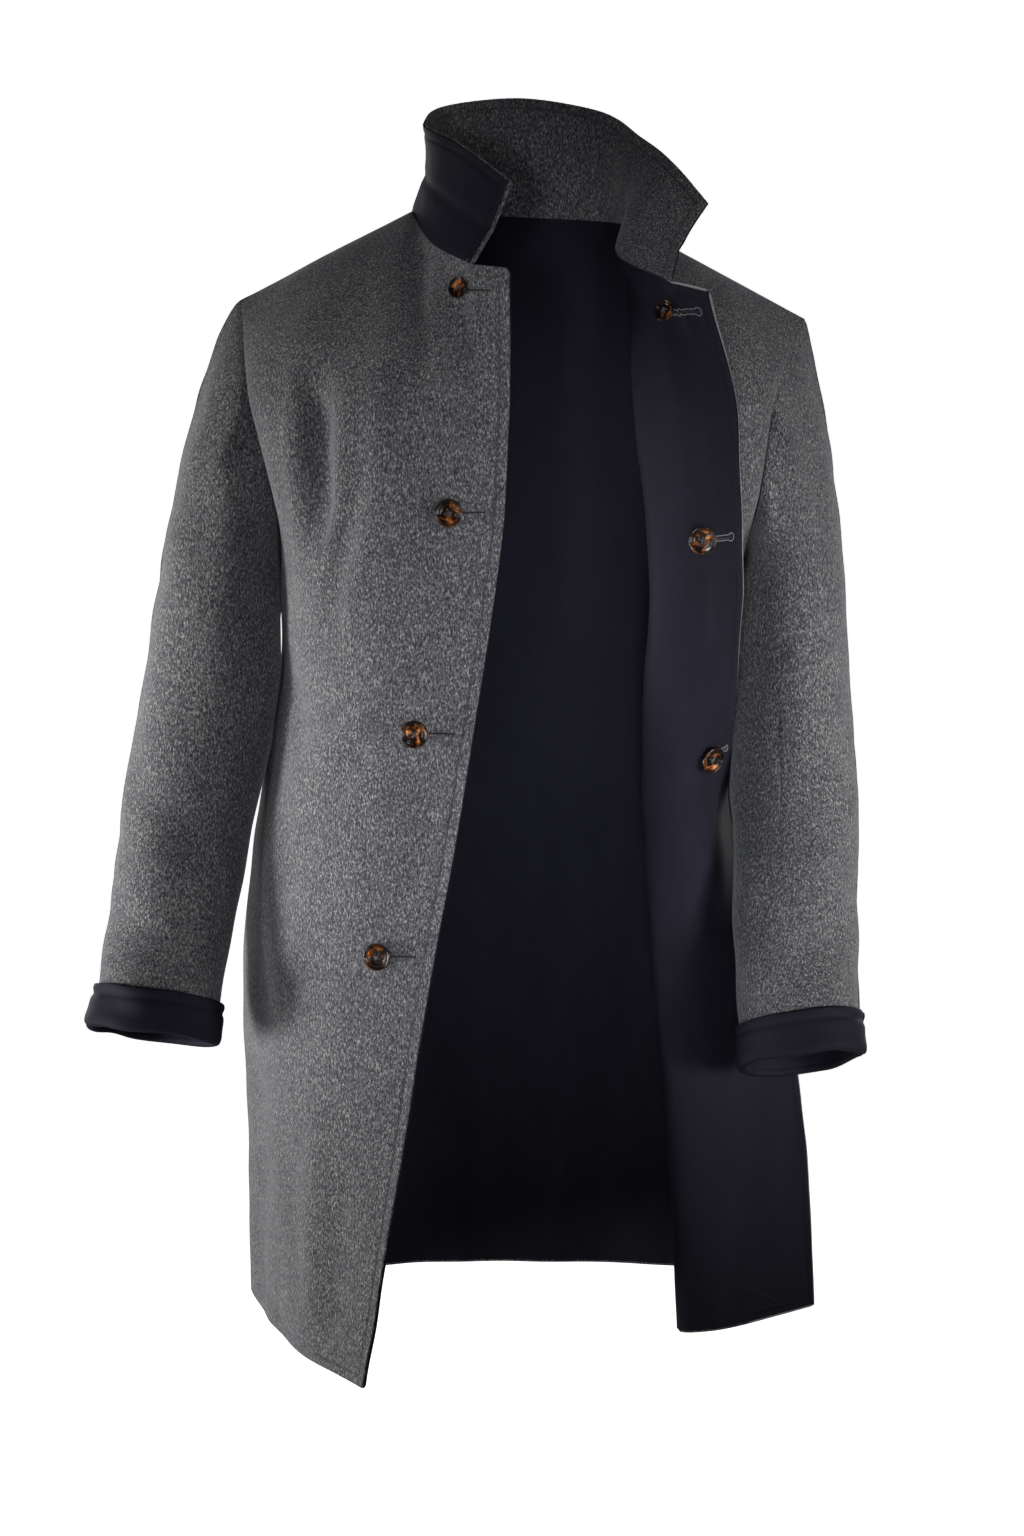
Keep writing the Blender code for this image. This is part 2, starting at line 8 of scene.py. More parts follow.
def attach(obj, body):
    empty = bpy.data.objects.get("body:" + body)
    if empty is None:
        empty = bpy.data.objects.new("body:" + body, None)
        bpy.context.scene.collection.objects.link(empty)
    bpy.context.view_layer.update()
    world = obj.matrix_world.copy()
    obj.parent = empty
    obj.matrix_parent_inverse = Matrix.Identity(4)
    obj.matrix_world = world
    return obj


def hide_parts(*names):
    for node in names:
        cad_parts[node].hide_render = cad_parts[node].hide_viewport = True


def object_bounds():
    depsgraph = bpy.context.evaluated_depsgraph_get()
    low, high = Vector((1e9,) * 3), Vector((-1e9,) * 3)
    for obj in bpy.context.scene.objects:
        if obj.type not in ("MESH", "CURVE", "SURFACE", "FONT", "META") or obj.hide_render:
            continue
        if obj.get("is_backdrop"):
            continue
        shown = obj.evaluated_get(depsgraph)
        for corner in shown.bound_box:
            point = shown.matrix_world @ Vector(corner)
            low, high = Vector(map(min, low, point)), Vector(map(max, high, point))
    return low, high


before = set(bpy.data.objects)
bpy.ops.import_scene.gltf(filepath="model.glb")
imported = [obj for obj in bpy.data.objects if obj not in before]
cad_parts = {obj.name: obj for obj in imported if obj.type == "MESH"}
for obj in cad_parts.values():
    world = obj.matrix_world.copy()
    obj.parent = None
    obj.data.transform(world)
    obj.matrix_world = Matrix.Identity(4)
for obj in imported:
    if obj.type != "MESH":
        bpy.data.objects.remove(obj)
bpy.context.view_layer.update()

bpy.ops.object.select_all(action="DESELECT")
scene = bpy.context.scene
print("frame loaded,", len(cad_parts), "nodes")

# camera, lights and the pale sweep behind the coat
studio = {
    "eye": (-0.0085, -3.0, 0.08), "down": 10.4, "lens": 82.97, "sensor": 36,
    "floor": -1.45, "sweepSize": 10.0, "sweepMiddle": 1.0, "sweepHeight": 5.0, "sweepCurve": 1.5,
    "sweepSteps": 24, "sweepColour": (0.92, 0.92, 0.91), "sweepGrain": 3.0, "grainShade": 0.99,
    "sweepGlow": 1.0, "world": 0.03,
    "lights": (  # name, place, aim, wide, tall, watts, spread, colour
        ("stripLeft", (-1.8, -0.3, -1.0), (-0.1, 0.0, -0.7), 0.6, 0.6, 3.8, 50, (1.0, 0.98, 0.965)),
        ("sleeveLeft", (-1.95, -0.25, -0.4), (-0.32, 0.0, -0.36), 0.4, 0.4, 0.75, 20, (1.0, 0.98, 0.965)),
        ("stripRight", (1.65, -1.3, -0.66), (0.42, 0.0, -0.48), 0.4, 0.5, 0.95, 34, (1.0, 0.98, 0.965)),
        ("sleeveRight", (1.95, -0.9, -0.5), (0.26, -0.03, -0.5), 0.4, 0.5, 0.92, 26, (1.0, 0.98, 0.965)),
        ("chest", (-0.6, -2.8, 0.0), (-0.02, -0.12, -0.14), 0.4, 0.4, 0.17, 11, (0.97, 0.98, 1.0)),
        ("flank", (-1.9, -1.6, -0.6), (-0.19, -0.09, -0.58), 0.3, 0.3, 0.11, 9, (0.97, 0.98, 1.0)),
        ("lapel", (0.5, -2.9, 0.1), (0.12, -0.12, -0.18), 0.3, 0.3, 0.09, 9, (0.95, 0.97, 1.0)),
        ("softLeft", (-1.9, -2.4, -0.95), (0.0, 0.0, -0.55), 1.2, 1.2, 2.0, 180, (0.96, 0.98, 1.0)),
        ("frontFill", (0.5, -3.6, -1.0), (0.0, 0.0, -0.55), 1.6, 1.6, 3.4, 180, (0.88, 0.92, 1.0)),
        ("backLeft", (-1.7, 2.2, -0.4), (0.0, 0.1, -0.5), 1.2, 1.2, 14.0, 120, (0.98, 0.99, 1.0)),
        ("backRight", (1.5, 2.4, -0.4), (0.0, 0.1, -0.5), 1.2, 1.2, 11.0, 120, (0.98, 0.99, 1.0)),
        ("liningGlow", (0.06, -1.15, -0.62), (0.05, 0.13, -0.48), 0.1, 0.35, 0.5, 42, (0.92, 0.95, 1.0)),
    ),
}

bpy.ops.object.camera_add(location=studio["eye"], rotation=(math.radians(90 - studio["down"]), 0, 0))
camera = bpy.context.object
camera.data.lens, camera.data.sensor_width = studio["lens"], studio["sensor"]
scene.camera = camera
scene.view_settings.view_transform = "Standard"

for name, place, aim, wide, tall, watts, spread, colour in studio["lights"]:
    bpy.ops.object.light_add(type="AREA", location=place)
    lamp = bpy.context.object
    lamp.name = name
    lamp.rotation_euler = (Vector(aim) - Vector(place)).to_track_quat("-Z", "Y").to_euler()
    lamp.data.shape, lamp.data.size, lamp.data.size_y = "RECTANGLE", wide, tall
    lamp.data.energy, lamp.data.spread, lamp.data.color = watts, math.radians(spread), colour


# one socket of a material: + - * / on it add Math nodes, and node() adds any other kind
class Wire:
    def __init__(self, tree, socket=None):
        self.tree, self.socket = tree, socket

    def node(self, kind, settings=None, inputs=None, out=0):
        made = self.tree.nodes.new("ShaderNode" + kind)
        for key, value in (settings or {}).items():
            if key == "stops":
                while len(made.color_ramp.elements) < len(value):
                    made.color_ramp.elements.new(0.5)
                for element, (place, colour) in zip(made.color_ramp.elements, value):
                    element.position, element.color = place, (*colour, 1.0)
            else:
                setattr(made, key, value)
        for key, value in (inputs or {}).items():
            if isinstance(value, Wire):
                self.tree.links.new(value.socket, made.inputs[key])
            else:
                made.inputs[key].default_value = value
        return Wire(self.tree, made.outputs[out])

    def maths(self, operation, first, second):
        return self.node("Math", {"operation": operation}, {0: first, 1: second})

    def __add__(self, other):
        return self.maths("ADD", self, other)

    def __sub__(self, other):
        return self.maths("SUBTRACT", self, other)

    def __rsub__(self, other):
        return self.maths("SUBTRACT", other, self)

    def __mul__(self, other):
        return self.maths("MULTIPLY", self, other)

    def __truediv__(self, other):
        return self.maths("DIVIDE", self, other)

    __radd__, __rmul__ = __add__, __mul__


def newMaterial(name, fixed):
    material = bpy.data.materials.new(name)
    material.use_nodes = True
    shader = material.node_tree.nodes["Principled BSDF"]
    for key, value in fixed.items():
        shader.inputs[key].default_value = value
    return material, Wire(material.node_tree), shader


def feed(wire, shader, socket):
    wire.tree.links.new(wire.socket, shader.inputs[socket])


# a white room to look at that lights the coat only a little
world = scene.world or bpy.data.worlds.new("studio")
scene.world = world
world.use_nodes = True
room, start = world.node_tree.nodes["Background"], Wire(world.node_tree)
room.inputs["Color"].default_value = (1, 1, 1, 1)
seen = start.node("LightPath", {}, out="Is Camera Ray")
feed(seen * (1 - studio["world"]) + studio["world"], room, "Strength")

# the coat's cloth and how finely it is divided
cloth = {
    "wool": 0.0016, "navy": 0.0011, "between": 0.0005, "seamGap": 0.00015, "settle": 0.012,
    "lip": 0.0026, "lipMargin": 0.0006, "edgeReach": -0.0009, "edgeBevel": 0.00042, "bevelAngle": 55,
    "step": 0.0052, "edgeStep": 0.0009, "seamStep": 0.0016, "growth": 0.12,
    "stitchIn": 0.0083, "stitchWide": 0.0013, "stitchSink": 0.0009, "hemRun": 0.078,
    "seamWide": 0.0032, "seamSink": 0.0007, "seamStill": 0.025, "faint": 0.6,
    "curvePoints": 700, "gradePoints": 4000,
}
innerDepth = cloth["wool"] + cloth["between"]


def mixed(start, share, first, second):
    return start.node("Mix", {"data_type": "RGBA"}, {0: share, 6: first, 7: second}, out=2)


def bumped(start, height, strength, distance, under=None):
    inputs = {"Height": height, "Strength": strength, "Distance": distance}
    if under is not None:
        inputs["Normal"] = under
    return start.node("Bump", {}, inputs)


# each look: fixed values, then noise layers (patch size or scale, detail, roughness, twist), and how much
# of which layer goes into the tone, the roughness and each bump (strength, depth)
looks = {
    "wool": {  # grey melange: dark and pale fibres that lie down the cloth
        "fixed": {"Sheen Weight": 0.22, "Sheen Roughness": 0.45, "Sheen Tint": (0.85, 0.87, 0.92, 1.0),
                  "Specular IOR Level": 0.12},
        "layers": {"fibre": ((0.0013, 0.0013, 0.0031), 3.0, 0.62, 0.0), "patch": (1 / 0.035, 2.0, 0.5, 0.0),
                   "fine": ((0.0008, 0.0008, 0.0019), 1.0, 0.5, 0.0)},
        "tone": (-0.215, {"fibre": 0.95, "fine": 0.42, "patch": 0.06}),
        "stops": ((0.28, (0.01, 0.011, 0.019)), (0.46, (0.056, 0.056, 0.063)),
                  (0.58, (0.128, 0.127, 0.129)), (0.74, (0.36, 0.352, 0.341))),
        "rough": (0.97, {"fine": -0.12}), "bumps": ((0.55, 0.001, {"fibre": 0.6, "fine": 0.5}),),
        # line: colour of the painted shade in the groove under the topstitching
        "line": (0.018, 0.018, 0.023), "lineShare": 0.62},
    "navy": {  # close cloth with a slight shine, fine slubs and soft puckers
        "fixed": {"Specular IOR Level": 0.06},
        "layers": {"pucker": ((0.02, 0.02, 0.06), 2.0, 0.5, 0.0),
                   "slub": ((0.004, 0.004, 0.0009), 2.0, 0.6, 0.0)},
        "tone": (0.0, {"pucker": 0.4, "slub": 0.6}),
        "stops": ((0.25, (0.0088, 0.0083, 0.0136)), (0.5, (0.0118, 0.0112, 0.0182)),
                  (0.75, (0.016, 0.0152, 0.024))),
        "rough": (0.62, {"slub": 0.16}),
        "bumps": ((0.18, 0.004, {"pucker": 1.0}), (0.2, 0.0003, {"slub": 1.0})),
        # line: colour of the painted shade in the groove under the topstitching
        "line": (0.003, 0.003, 0.005), "lineShare": 0.75},
    "horn": {  # polished, black brown with amber clouds in the bowl and a darker rim
        "fixed": {"Coat Roughness": 0.05, "Coat Weight": 0.35, "Specular IOR Level": 0.2},
        "layers": {"cloud": (95.0, 3.0, 0.55, 1.2), "streak": (380.0, 2.0, 0.5, 0.0)},
        "tone": (0.0, {"cloud": 0.85, "streak": 0.15}),
        "stops": ((0.42, (0.004, 0.003, 0.002)), (0.5, (0.018, 0.006, 0.002)),
                  (0.57, (0.24, 0.068, 0.013)), (0.68, (0.64, 0.27, 0.075))),
        "rough": (0.13, {"streak": 0.1}), "bumps": (),
        "rim": (0.006, 0.004, 0.003), "rimStart": 0.6, "rimOver": 0.14, "rimShare": 0.85},
    "thread": {
        "fixed": {"Sheen Weight": 0.15, "Specular IOR Level": 0.25},
        "layers": {"twist": (2600.0, 2.0, 0.6, 0.0)}, "tone": (0.0, {"twist": 1.0}),
        "rough": (0.62, {"twist": 0.25}), "bumps": ((0.4, 0.0002, {"twist": 1.0}),)},
    # painted shade along the pressed line under the topstitching, and a painted highlight on the wool lip
    # where the attribute is marked
    "stitchLine": {"narrow": 900.0, "lipMark": -1.0, "lipBelow": -0.1, "lipHighlightShare": 0.7,
                   "lip": (0.34, 0.335, 0.33)},
}


def noise(start, where, scale, detail, rough, twist):
    return start.node("TexNoise", {}, {"Vector": where, "Scale": scale, "Detail": detail,
                                       "Roughness": rough, "Distortion": twist})


# darkens a narrow band at the stitch line (painted shade in the groove) and lightens the marked lip (painted
# highlight)
def paintGrooveShadeAndLipHighlight(start, colour, look):
    line = looks["stitchLine"]
    away = start.node("Attribute", {"attribute_name": "stitchLine"}, out="Fac")
    off = (away - cloth["stitchIn"]) * line["narrow"]
    near = start.node("Math", {"operation": "EXPONENT"}, {0: off * off * -1.0})
    lined = mixed(start, near * look["lineShare"], colour, (*look["line"], 1.0))
    lip = start.maths("LESS_THAN", away, line["lipBelow"])
    return mixed(start, lip * line["lipHighlightShare"], lined, (*line["lip"], 1.0))


def rimShade(start, colour, look):
    away = start.node("Attribute", {"attribute_name": "fromCentre"}, out="Fac")
    rim = start.maths("MINIMUM", (away - look["rimStart"]) / look["rimOver"], look["rimShare"])
    return mixed(start, rim, colour, (*look["rim"], 1.0))


def makeMaterial(name, look, stops=None):
    material, start, shader = newMaterial(name, look["fixed"])
    where = start.node("TexCoord", {}, out="Object")
    layers = {}
    for key, (size, *rest) in look["layers"].items():
        if isinstance(size, tuple):
            patches = start.node("Mapping", {}, {"Vector": where, "Scale": [1 / side for side in size]})
            layers[key] = noise(start, patches, 1.0, *rest)
        else:
            layers[key] = noise(start, where, size, *rest)

    def weighed(base, shares):
        return sum((layers[key] * share for key, share in shares.items()), base)

    colour = start.node("ValToRGB", {"stops": stops or look["stops"]}, {"Fac": weighed(*look["tone"])})
    # painted shade along the stitch line, and a painted highlight on marked lips
    if "line" in look:
        colour = paintGrooveShadeAndLipHighlight(start, colour, look)
    if "rim" in look:
        colour = rimShade(start, colour, look)
    feed(colour, shader, "Base Color")
    feed(weighed(*look["rough"]), shader, "Roughness")
    bump = None
    for strength, depth, shares in look["bumps"]:
        bump = bumped(start, weighed(0.0, shares), strength, depth, bump)
    if bump:
        feed(bump, shader, "Normal")
    return material


materials = {"wool": makeMaterial("melangeWool", looks["wool"]),
             "navy": makeMaterial("navyCloth", looks["navy"]),
             "horn": makeMaterial("polishedHorn", looks["horn"])}
for key, name, dark, pale in (("greyThread", "greyThread", (0.032, 0.033, 0.037), (0.07, 0.071, 0.076)),
                              ("navyThread", "navyThread", (0.006, 0.0065, 0.011), (0.014, 0.015, 0.024)),
                              ("paleThread", "paleThread", (0.13, 0.13, 0.14), (0.3, 0.3, 0.31)),
                              # near-black copies laid along the buttonhole cut: painted shade in the opening
                              ("slit", "slitShadow", (0.004, 0.004, 0.006), (0.01, 0.01, 0.014))):
    materials[key] = makeMaterial(name, looks["thread"], ((0.0, dark), (1.0, pale)))
print("materials made:", len(materials))


def unit(ways):
    return ways / np.linalg.norm(ways, axis=-1, keepdims=True)


def bell(x, wide):
    return np.exp(-(x / wide)**2)


def easeIn(distance, over):
    share = np.clip(distance / over, 0, 1)
    return share * share * (3 - 2 * share)


# smooth curves through short tables
def hermite(start, leave, end, arrive, t):
    return ((2 * t**3 - 3 * t**2 + 1) * start + (t**3 - 2 * t**2 + t) * leave
            + (3 * t**2 - 2 * t**3) * end + (t**3 - t**2) * arrive)


def through(knots, values, at):
    knots, values, at = np.asarray(knots, float), np.asarray(values, float), np.atleast_1d(at)
    slopes = np.gradient(values, knots, axis=0)
    i = np.clip(np.searchsorted(knots, at, side="right") - 1, 0, len(knots) - 2)
    span = knots[i + 1] - knots[i]
    shape = (-1,) + (1,) * (values.ndim - 1)
    return hermite(values[i], slopes[i] * span.reshape(shape), values[i + 1],
                   slopes[i + 1] * span.reshape(shape), ((at - knots[i]) / span).reshape(shape))


def lengths(points, axis=0):
    steps = np.linalg.norm(np.diff(points, axis=axis), axis=-1)
    shape = list(steps.shape)
    shape[axis] = 1
    return np.concatenate([np.zeros(shape), np.cumsum(steps, axis=axis)], axis=axis)


def pick(points, run, at):
    # points of a curve at these lengths along it
    return np.column_stack([np.interp(at, run, axis) for axis in points.T])


def alongCurve(points, shares, first=0, last=-1):
    points = np.asarray(points, float)
    steps = np.sqrt(np.linalg.norm(np.diff(points, axis=0), axis=1))
    knots = np.concatenate([[0], np.cumsum(steps)])
    fine = through(knots, points, np.linspace(knots[first], knots[last], cloth["curvePoints"]))
    run = lengths(fine)
    return pick(fine, run, np.asarray(shares) * run[-1])


def graded(length, start=None, end=None, step=cloth["step"]):
    # shares of a run, with short steps at the ends that have a first step
    x = np.linspace(0, length, cloth["gradePoints"])
    size = np.full(len(x), step)
    if start:
        size = np.minimum(size, start + cloth["growth"] * x)
    if end:
        size = np.minimum(size, end + cloth["growth"] * (length - x))
    count = np.concatenate([[0], np.cumsum((x[1] - x[0]) / size[1:])])
    return np.interp(np.linspace(0, count[-1], math.ceil(count[-1]) + 1), count, x) / length


# the body's heights, its top lines, and where these change: shares across a panel
body = {
    "underarm": -0.29, "collarEnd": 0.12, "neckEnd": 0.42, "backNeckFrom": 0.31,
    "armholeRows": (-0.16, -0.195, -0.23, -0.258, -0.278, -0.29), "hem": -0.967,
    # lengths that set how many rows and columns there are
    "yokeRun": 0.13, "armholeRun": 0.13, "edgeRun": 0.035, "neckRun": 0.095, "shoulderRun": 0.165,
    "backNeckRun": 0.19, "slopeStep": 0.004,
    # front corner, collar end, neckline, neck end and tip of the shoulder
    "rightTop": ((-0.011, -0.118, -0.039), (-0.042, -0.107, -0.036), (-0.075, -0.058, -0.021),
                 (-0.093, 0.0, 0.004), (-0.239, 0.018, -0.071)),
    "leftTop": ((0.152, -0.1, -0.057), (0.121, -0.107, -0.05), (0.08, -0.066, -0.031),
                (0.092, 0.0, -0.008), (0.24, 0.018, -0.087)),
    "backNeck": ((-0.072, 0.052, 0.001), (0.0, 0.076, -0.003), (0.072, 0.052, -0.006)),
    # how the cloth leaves the top line: how far across, then forward and up
    "frontLeaves": ((0.0, 0.005, -0.12), (0.12, 0.02, -0.12), (0.27, 0.06, -0.1),
                    (0.42, 0.12, -0.05), (0.7, 0.13, 0.0), (1.0, 0.07, -0.05)),
    "backLeaves": ((0.0, 0.07, -0.05), (0.19, 0.13, 0.0), (0.36, 0.12, -0.05), (0.5, 0.08, -0.12),
                   (0.64, 0.12, -0.05), (0.81, 0.13, 0.0), (1.0, 0.07, -0.05)),
    "cornerRound": 0.0048, "hemRound": 0.004,
}

# sections of the body, seen from above, in millimetres: x and y of each place across, at each height
sections = {
    "heights": (160, 250, 290, 400, 500, 620, 800, 967),  # downward
    "right": (  # edge, breast, flank, seam
        (-11, -125, -110, -134, -190, -95, -226, -40),
        (-16, -133, -115, -138, -182, -92, -205, -30),
        (-21, -136, -118, -138, -186, -80, -200, 24),
        (-38, -142, -125, -135, -184, -72, -207, 58),
        (-54, -146, -138, -136, -206, -60, -221, 70),
        (-76, -150, -155, -128, -226, -40, -236, 85),
        (-106, -164, -168, -113, -228, -10, -240, 98),
        (-134, -176, -184, -102, -228, 10, -241, 110)),
    "left": (  # edge, crest, fold, turn, flank, seam
        (175, -105, 140, -142, 94, -128, 112, -104, 165, -88, 208, -50),
        (179, -120, 146, -150, 104, -134, 118, -110, 164, -90, 194, -45),
        (180, -118, 146, -150, 108, -135, 120, -108, 164, -76, 187, 24),
        (177, -82, 142, -130, 102, -118, 120, -85, 160, -35, 181, 55),
        (178, 6, 140, -100, 104, -94, 124, -56, 160, 5, 192, 75),
        (214, 22, 146, -62, 114, -64, 132, -28, 176, 30, 214, 88),
        (250, 26, 160, -48, 130, -48, 146, -14, 188, 48, 226, 102),
        (262, 36, 168, -32, 140, -34, 152, -4, 190, 62, 227, 118)),
    "back": (  # right seam, right blade, centre, left blade, left seam
        (-222, 74, -120, 118, 0, 126, 120, 118, 220, 74),
        (-206, 68, -125, 120, 0, 130, 125, 120, 202, 72),
        (-200, 24, -126, 118, 0, 130, 126, 118, 187, 24),
        (-207, 58, -124, 117, 0, 124, 122, 117, 181, 55),
        (-221, 70, -130, 124, 0, 128, 126, 124, 192, 75),
        (-236, 85, -140, 140, 0, 142, 134, 140, 214, 88),
        (-240, 98, -138, 148, 0, 152, 134, 148, 226, 102),
        (-241, 110, -136, 154, 0, 158, 132, 154, 227, 118)),
}

# soft folds in millimetres: from (across, height) to (across, height), half width, rise
folds = {
    "right": (
        (137, -12, 100, -112, 11, 2.6), (103, -90, 112, -200, 15, 3), (108, -30, 74, -110, 10, -2.8),
        (74, -48, 49, -165, 10, 4.4), (45, -60, 32, -175, 10, -5.4), (164, -135, 160, -250, 15, -16.5),
        (188, -140, 190, -275, 11, 4), (136, -150, 147, -290, 14, 3.8), (124, -205, 141, -315, 12, -5.2),
        (104, -180, 118, -320, 14, 3), (56, -400, 118, -458, 12, -2.6), (62, -375, 150, -468, 14, 2.2),
        (60, -385, 140, -530, 16, -1.8), (205, -385, 165, -440, 16, -3.5), (88, -740, 95, -950, 22, 4.2),
        (55, -780, 55, -950, 18, -3.4), (190, -600, 215, -940, 30, -4), (258, -345, 258, -410, 22, -3.2)),
    "left": (
        (66, -90, 52, -280, 14, -2.6), (30, -150, 28, -330, 12, 1.4), (85, -300, 70, -420, 16, -1.4),
        (80, -690, 85, -930, 35, 3), (52, -765, 78, -800, 7, 1.2), (52, -905, 50, -945, 5, 1.2)),
    "back": (
        (130, -520, 120, -1000, 32, -6), (245, -560, 250, -1000, 40, 5), (370, -520, 380, -1000, 32, -6),
        (90, -160, 140, -300, 22, -3.5), (400, -160, 350, -300, 22, -3.5), (200, -330, 240, -420, 26, -2.5),
        (300, -340, 260, -430, 26, -2.5)),
    "sleeveRight": (
        (20, -455, 110, -520, 14, -3), (15, -500, 100, -560, 14, 2.2), (10, -560, 85, -610, 13, -2.6),
        (15, -610, 80, -655, 12, 2.2), (30, -640, 90, -680, 10, -2), (120, -340, 150, -420, 14, -2.6),
        (250, -470, 190, -520, 16, -3), (60, -180, 70, -300, 20, -1.5), (178, -288, 178, -330, 30, 3.2)),
    "sleeveLeft": (
        (20, -420, 110, -500, 16, -2.6), (12, -480, 100, -560, 14, 2), (15, -560, 90, -620, 14, -2.4),
        (20, -610, 95, -665, 12, 2), (250, -470, 190, -520, 16, -2.8), (55, -150, 70, -290, 18, -1.6),
        (130, -360, 150, -440, 14, -2.2), (172, -300, 172, -520, 32, 6.8)),
}
folds = {name: np.array(rows) / 1000 for name, rows in folds.items()}


def foldRise(across, height, table, fade=0.3):
    rise = np.zeros(across.shape)
    for a0, z0, a1, z1, wide, up in table:
        da, dz = a1 - a0, z1 - z0
        run = math.hypot(da, dz)
        share = ((across - a0) * da + (height - z0) * dz) / run**2
        aside = ((across - a0) * dz - (height - z0) * da) / run
        rise += up * easeIn(np.minimum(share + fade, 1 + fade - share), 2 * fade) * bell(aside, wide)
    return rise


def ripples(across, height, seed, size, up, count=9):
    # gentle waves with no fixed direction
    dice = np.random.RandomState(seed)
    total = np.zeros(across.shape)
    for angle, phase, stretch in zip(dice.rand(count) * np.pi, dice.rand(count) * 2 * np.pi,
                                     0.7 + 0.7 * dice.rand(count)):
        turn = 2 * np.pi / (size * stretch)
        total += np.sin(turn * (across * np.cos(angle) + height * np.sin(angle)) + phase)
    return total * up / 3


def towards(grid, axis):
    return unit(np.gradient(grid, axis=axis))


def facing(grid, sign, ring=False):
    around = np.concatenate([grid[:, -2:-1], grid, grid[:, 1:2]], axis=1) if ring else grid
    normal = sign * np.cross(towards(around, 1), towards(around, 0))
    return unit(normal[:, 1:-1] if ring else normal)


# rows that all the body's panels share: a count to 3 down the yoke and to 8 under the arm, then heights
yokeCount = 3 * graded(body["yokeRun"], start=cloth["edgeStep"])
armholeCount = 3 + 5 * graded(body["armholeRun"])[1:]
rowCount = np.concatenate([yokeCount[:-1], [3.0], armholeCount])
# down the front and up the back of an armhole
ringCount = np.concatenate([rowCount, 16 - rowCount[:-1][::-1]])
skirtHeights = body["underarm"] + (body["hem"] - body["underarm"]) * graded(
    body["underarm"] - body["hem"], end=cloth["edgeStep"])[1:]
chestHeights = through(range(3, 9), body["armholeRows"], np.concatenate([[3.0], armholeCount]))
chestHeights[0], chestHeights[-1] = body["armholeRows"][0], body["underarm"]
rowHeights = np.concatenate([chestHeights, skirtHeights])
underarmRow = len(rowCount) - 1

# columns: the front's edge, the neckline, the shoulder and the back of the neck
edgeShares = graded(body["edgeRun"], start=cloth["edgeStep"])
neckShares = graded(body["neckRun"], end=cloth["seamStep"])
shoulderShares = graded(body["shoulderRun"], start=cloth["seamStep"], end=cloth["seamStep"])
backNeckShares = graded(body["backNeckRun"])
collarEnd, neckEnd, backNeckFrom = body["collarEnd"], body["neckEnd"], body["backNeckFrom"]
frontShares = np.concatenate([collarEnd * edgeShares, collarEnd + (neckEnd - collarEnd) * neckShares[1:],
                              neckEnd + (1 - neckEnd) * shoulderShares[1:]])
backShares = np.concatenate([backNeckFrom * (1 - shoulderShares[::-1]),
                             backNeckFrom + (1 - 2 * backNeckFrom) * backNeckShares[1:],
                             1 - backNeckFrom * (1 - shoulderShares[1:])])
endColumn = len(edgeShares) - 1


def sectionTables():
    heights = np.array(sections["heights"]) / 1000
    right, left, back = (np.array(sections[name]).reshape(len(heights), -1, 2) / 1000
                         for name in ("right", "left", "back"))
    # each with the neighbours' next places beyond its seams, then its first and last place and its seams
    return ((heights, np.concatenate([right, back[:, 1:2]], axis=1), 0, -2, [-2]),
            (heights, np.concatenate([left, back[:, 3:4]], axis=1), 0, -2, [-2]),
            (heights, np.concatenate([right[:, 2:3], back, left[:, 4:5]], axis=1), 1, -2, [1, -2]))


def section(table, height, shares):
    heights, places, first, last, seams = table
    here = through(heights, places, -height)[0]
    part = heights >= -body["underarm"] if height <= body["underarm"] else heights <= -body["underarm"]
    here[seams] = through(heights[part], places[part][:, seams], -height)[0]
    flat = alongCurve(here, shares, first, last)
    return np.column_stack([flat, np.full(len(flat), height)])


def panelGrid(table, top, leaves, forward, shares):
    chest, step = section(table, rowHeights[0], shares), body["slopeStep"]
    below = (section(table, rowHeights[0] - step, shares) - chest) / step
    drop = (top[:, 2] - rowHeights[0])[:, None]
    away = through([row[0] for row in leaves], [row[1:] for row in leaves], shares)
    leave = np.column_stack([chest[:, 0] - top[:, 0], forward * away[:, 0], away[:, 1]])
    grid = [hermite(top, leave, chest, below * drop, t / 3) for t in yokeCount[:-1]]
    return np.array(grid + [section(table, height, shares) for height in rowHeights])


def shoulder(top):
    return alongCurve(top[3:5], shoulderShares)


def backNeckline():
    return alongCurve([body["rightTop"][3], *body["backNeck"], body["leftTop"][3]], backNeckShares)


def frontTop(top):
    neckline = alongCurve(top[1:4], neckShares)
    return np.concatenate([alongCurve(top[:2], edgeShares)[:-1], neckline[:-1], shoulder(top)])


# a panel's grid, outward normals and distances; seam and stitch give how far each point is from such an edge
def newPanel(grid, sign, ring=False):
    across, down, far = lengths(grid, 1), lengths(grid, 0), np.full(grid.shape[:2], 1.0)
    return {"grid": grid, "normal": facing(grid, sign, ring), "sign": sign, "across": across, "down": down,
            "acrossLeft": across[:, -1:] - across, "downLeft": down[-1:] - down, "seam": far, "stitch": far}


def shareNormals(panels):
    # where panels meet they get one normal, so that their edges stay together
    meeting = {}
    for panel in panels:
        rows, columns = panel["grid"].shape[:2]
        border = ([(r, c) for r in (0, rows - 1) for c in range(columns)]
                  + [(r, c) for r in range(rows) for c in (0, columns - 1)])
        for place in border:
            meeting.setdefault(tuple(np.round(panel["grid"][place], 5)), []).append((panel["normal"], place))
    for found in meeting.values():
        ways = np.array([normal[place] for normal, place in found])
        for (normal, place), way in zip(found, ways.copy()):
            normal[place] = unit(ways[ways @ way > -0.1].sum(axis=0))


def raiseFolds(panel, table, seed, wave, size):
    height = panel["grid"][:, :, 2]
    rise = foldRise(panel["across"], height, table) + ripples(panel["across"], height, seed, size, wave)
    still = easeIn(panel["seam"], cloth["seamStill"])
    panel["grid"] = panel["grid"] + panel["normal"] * (rise * still)[:, :, None]


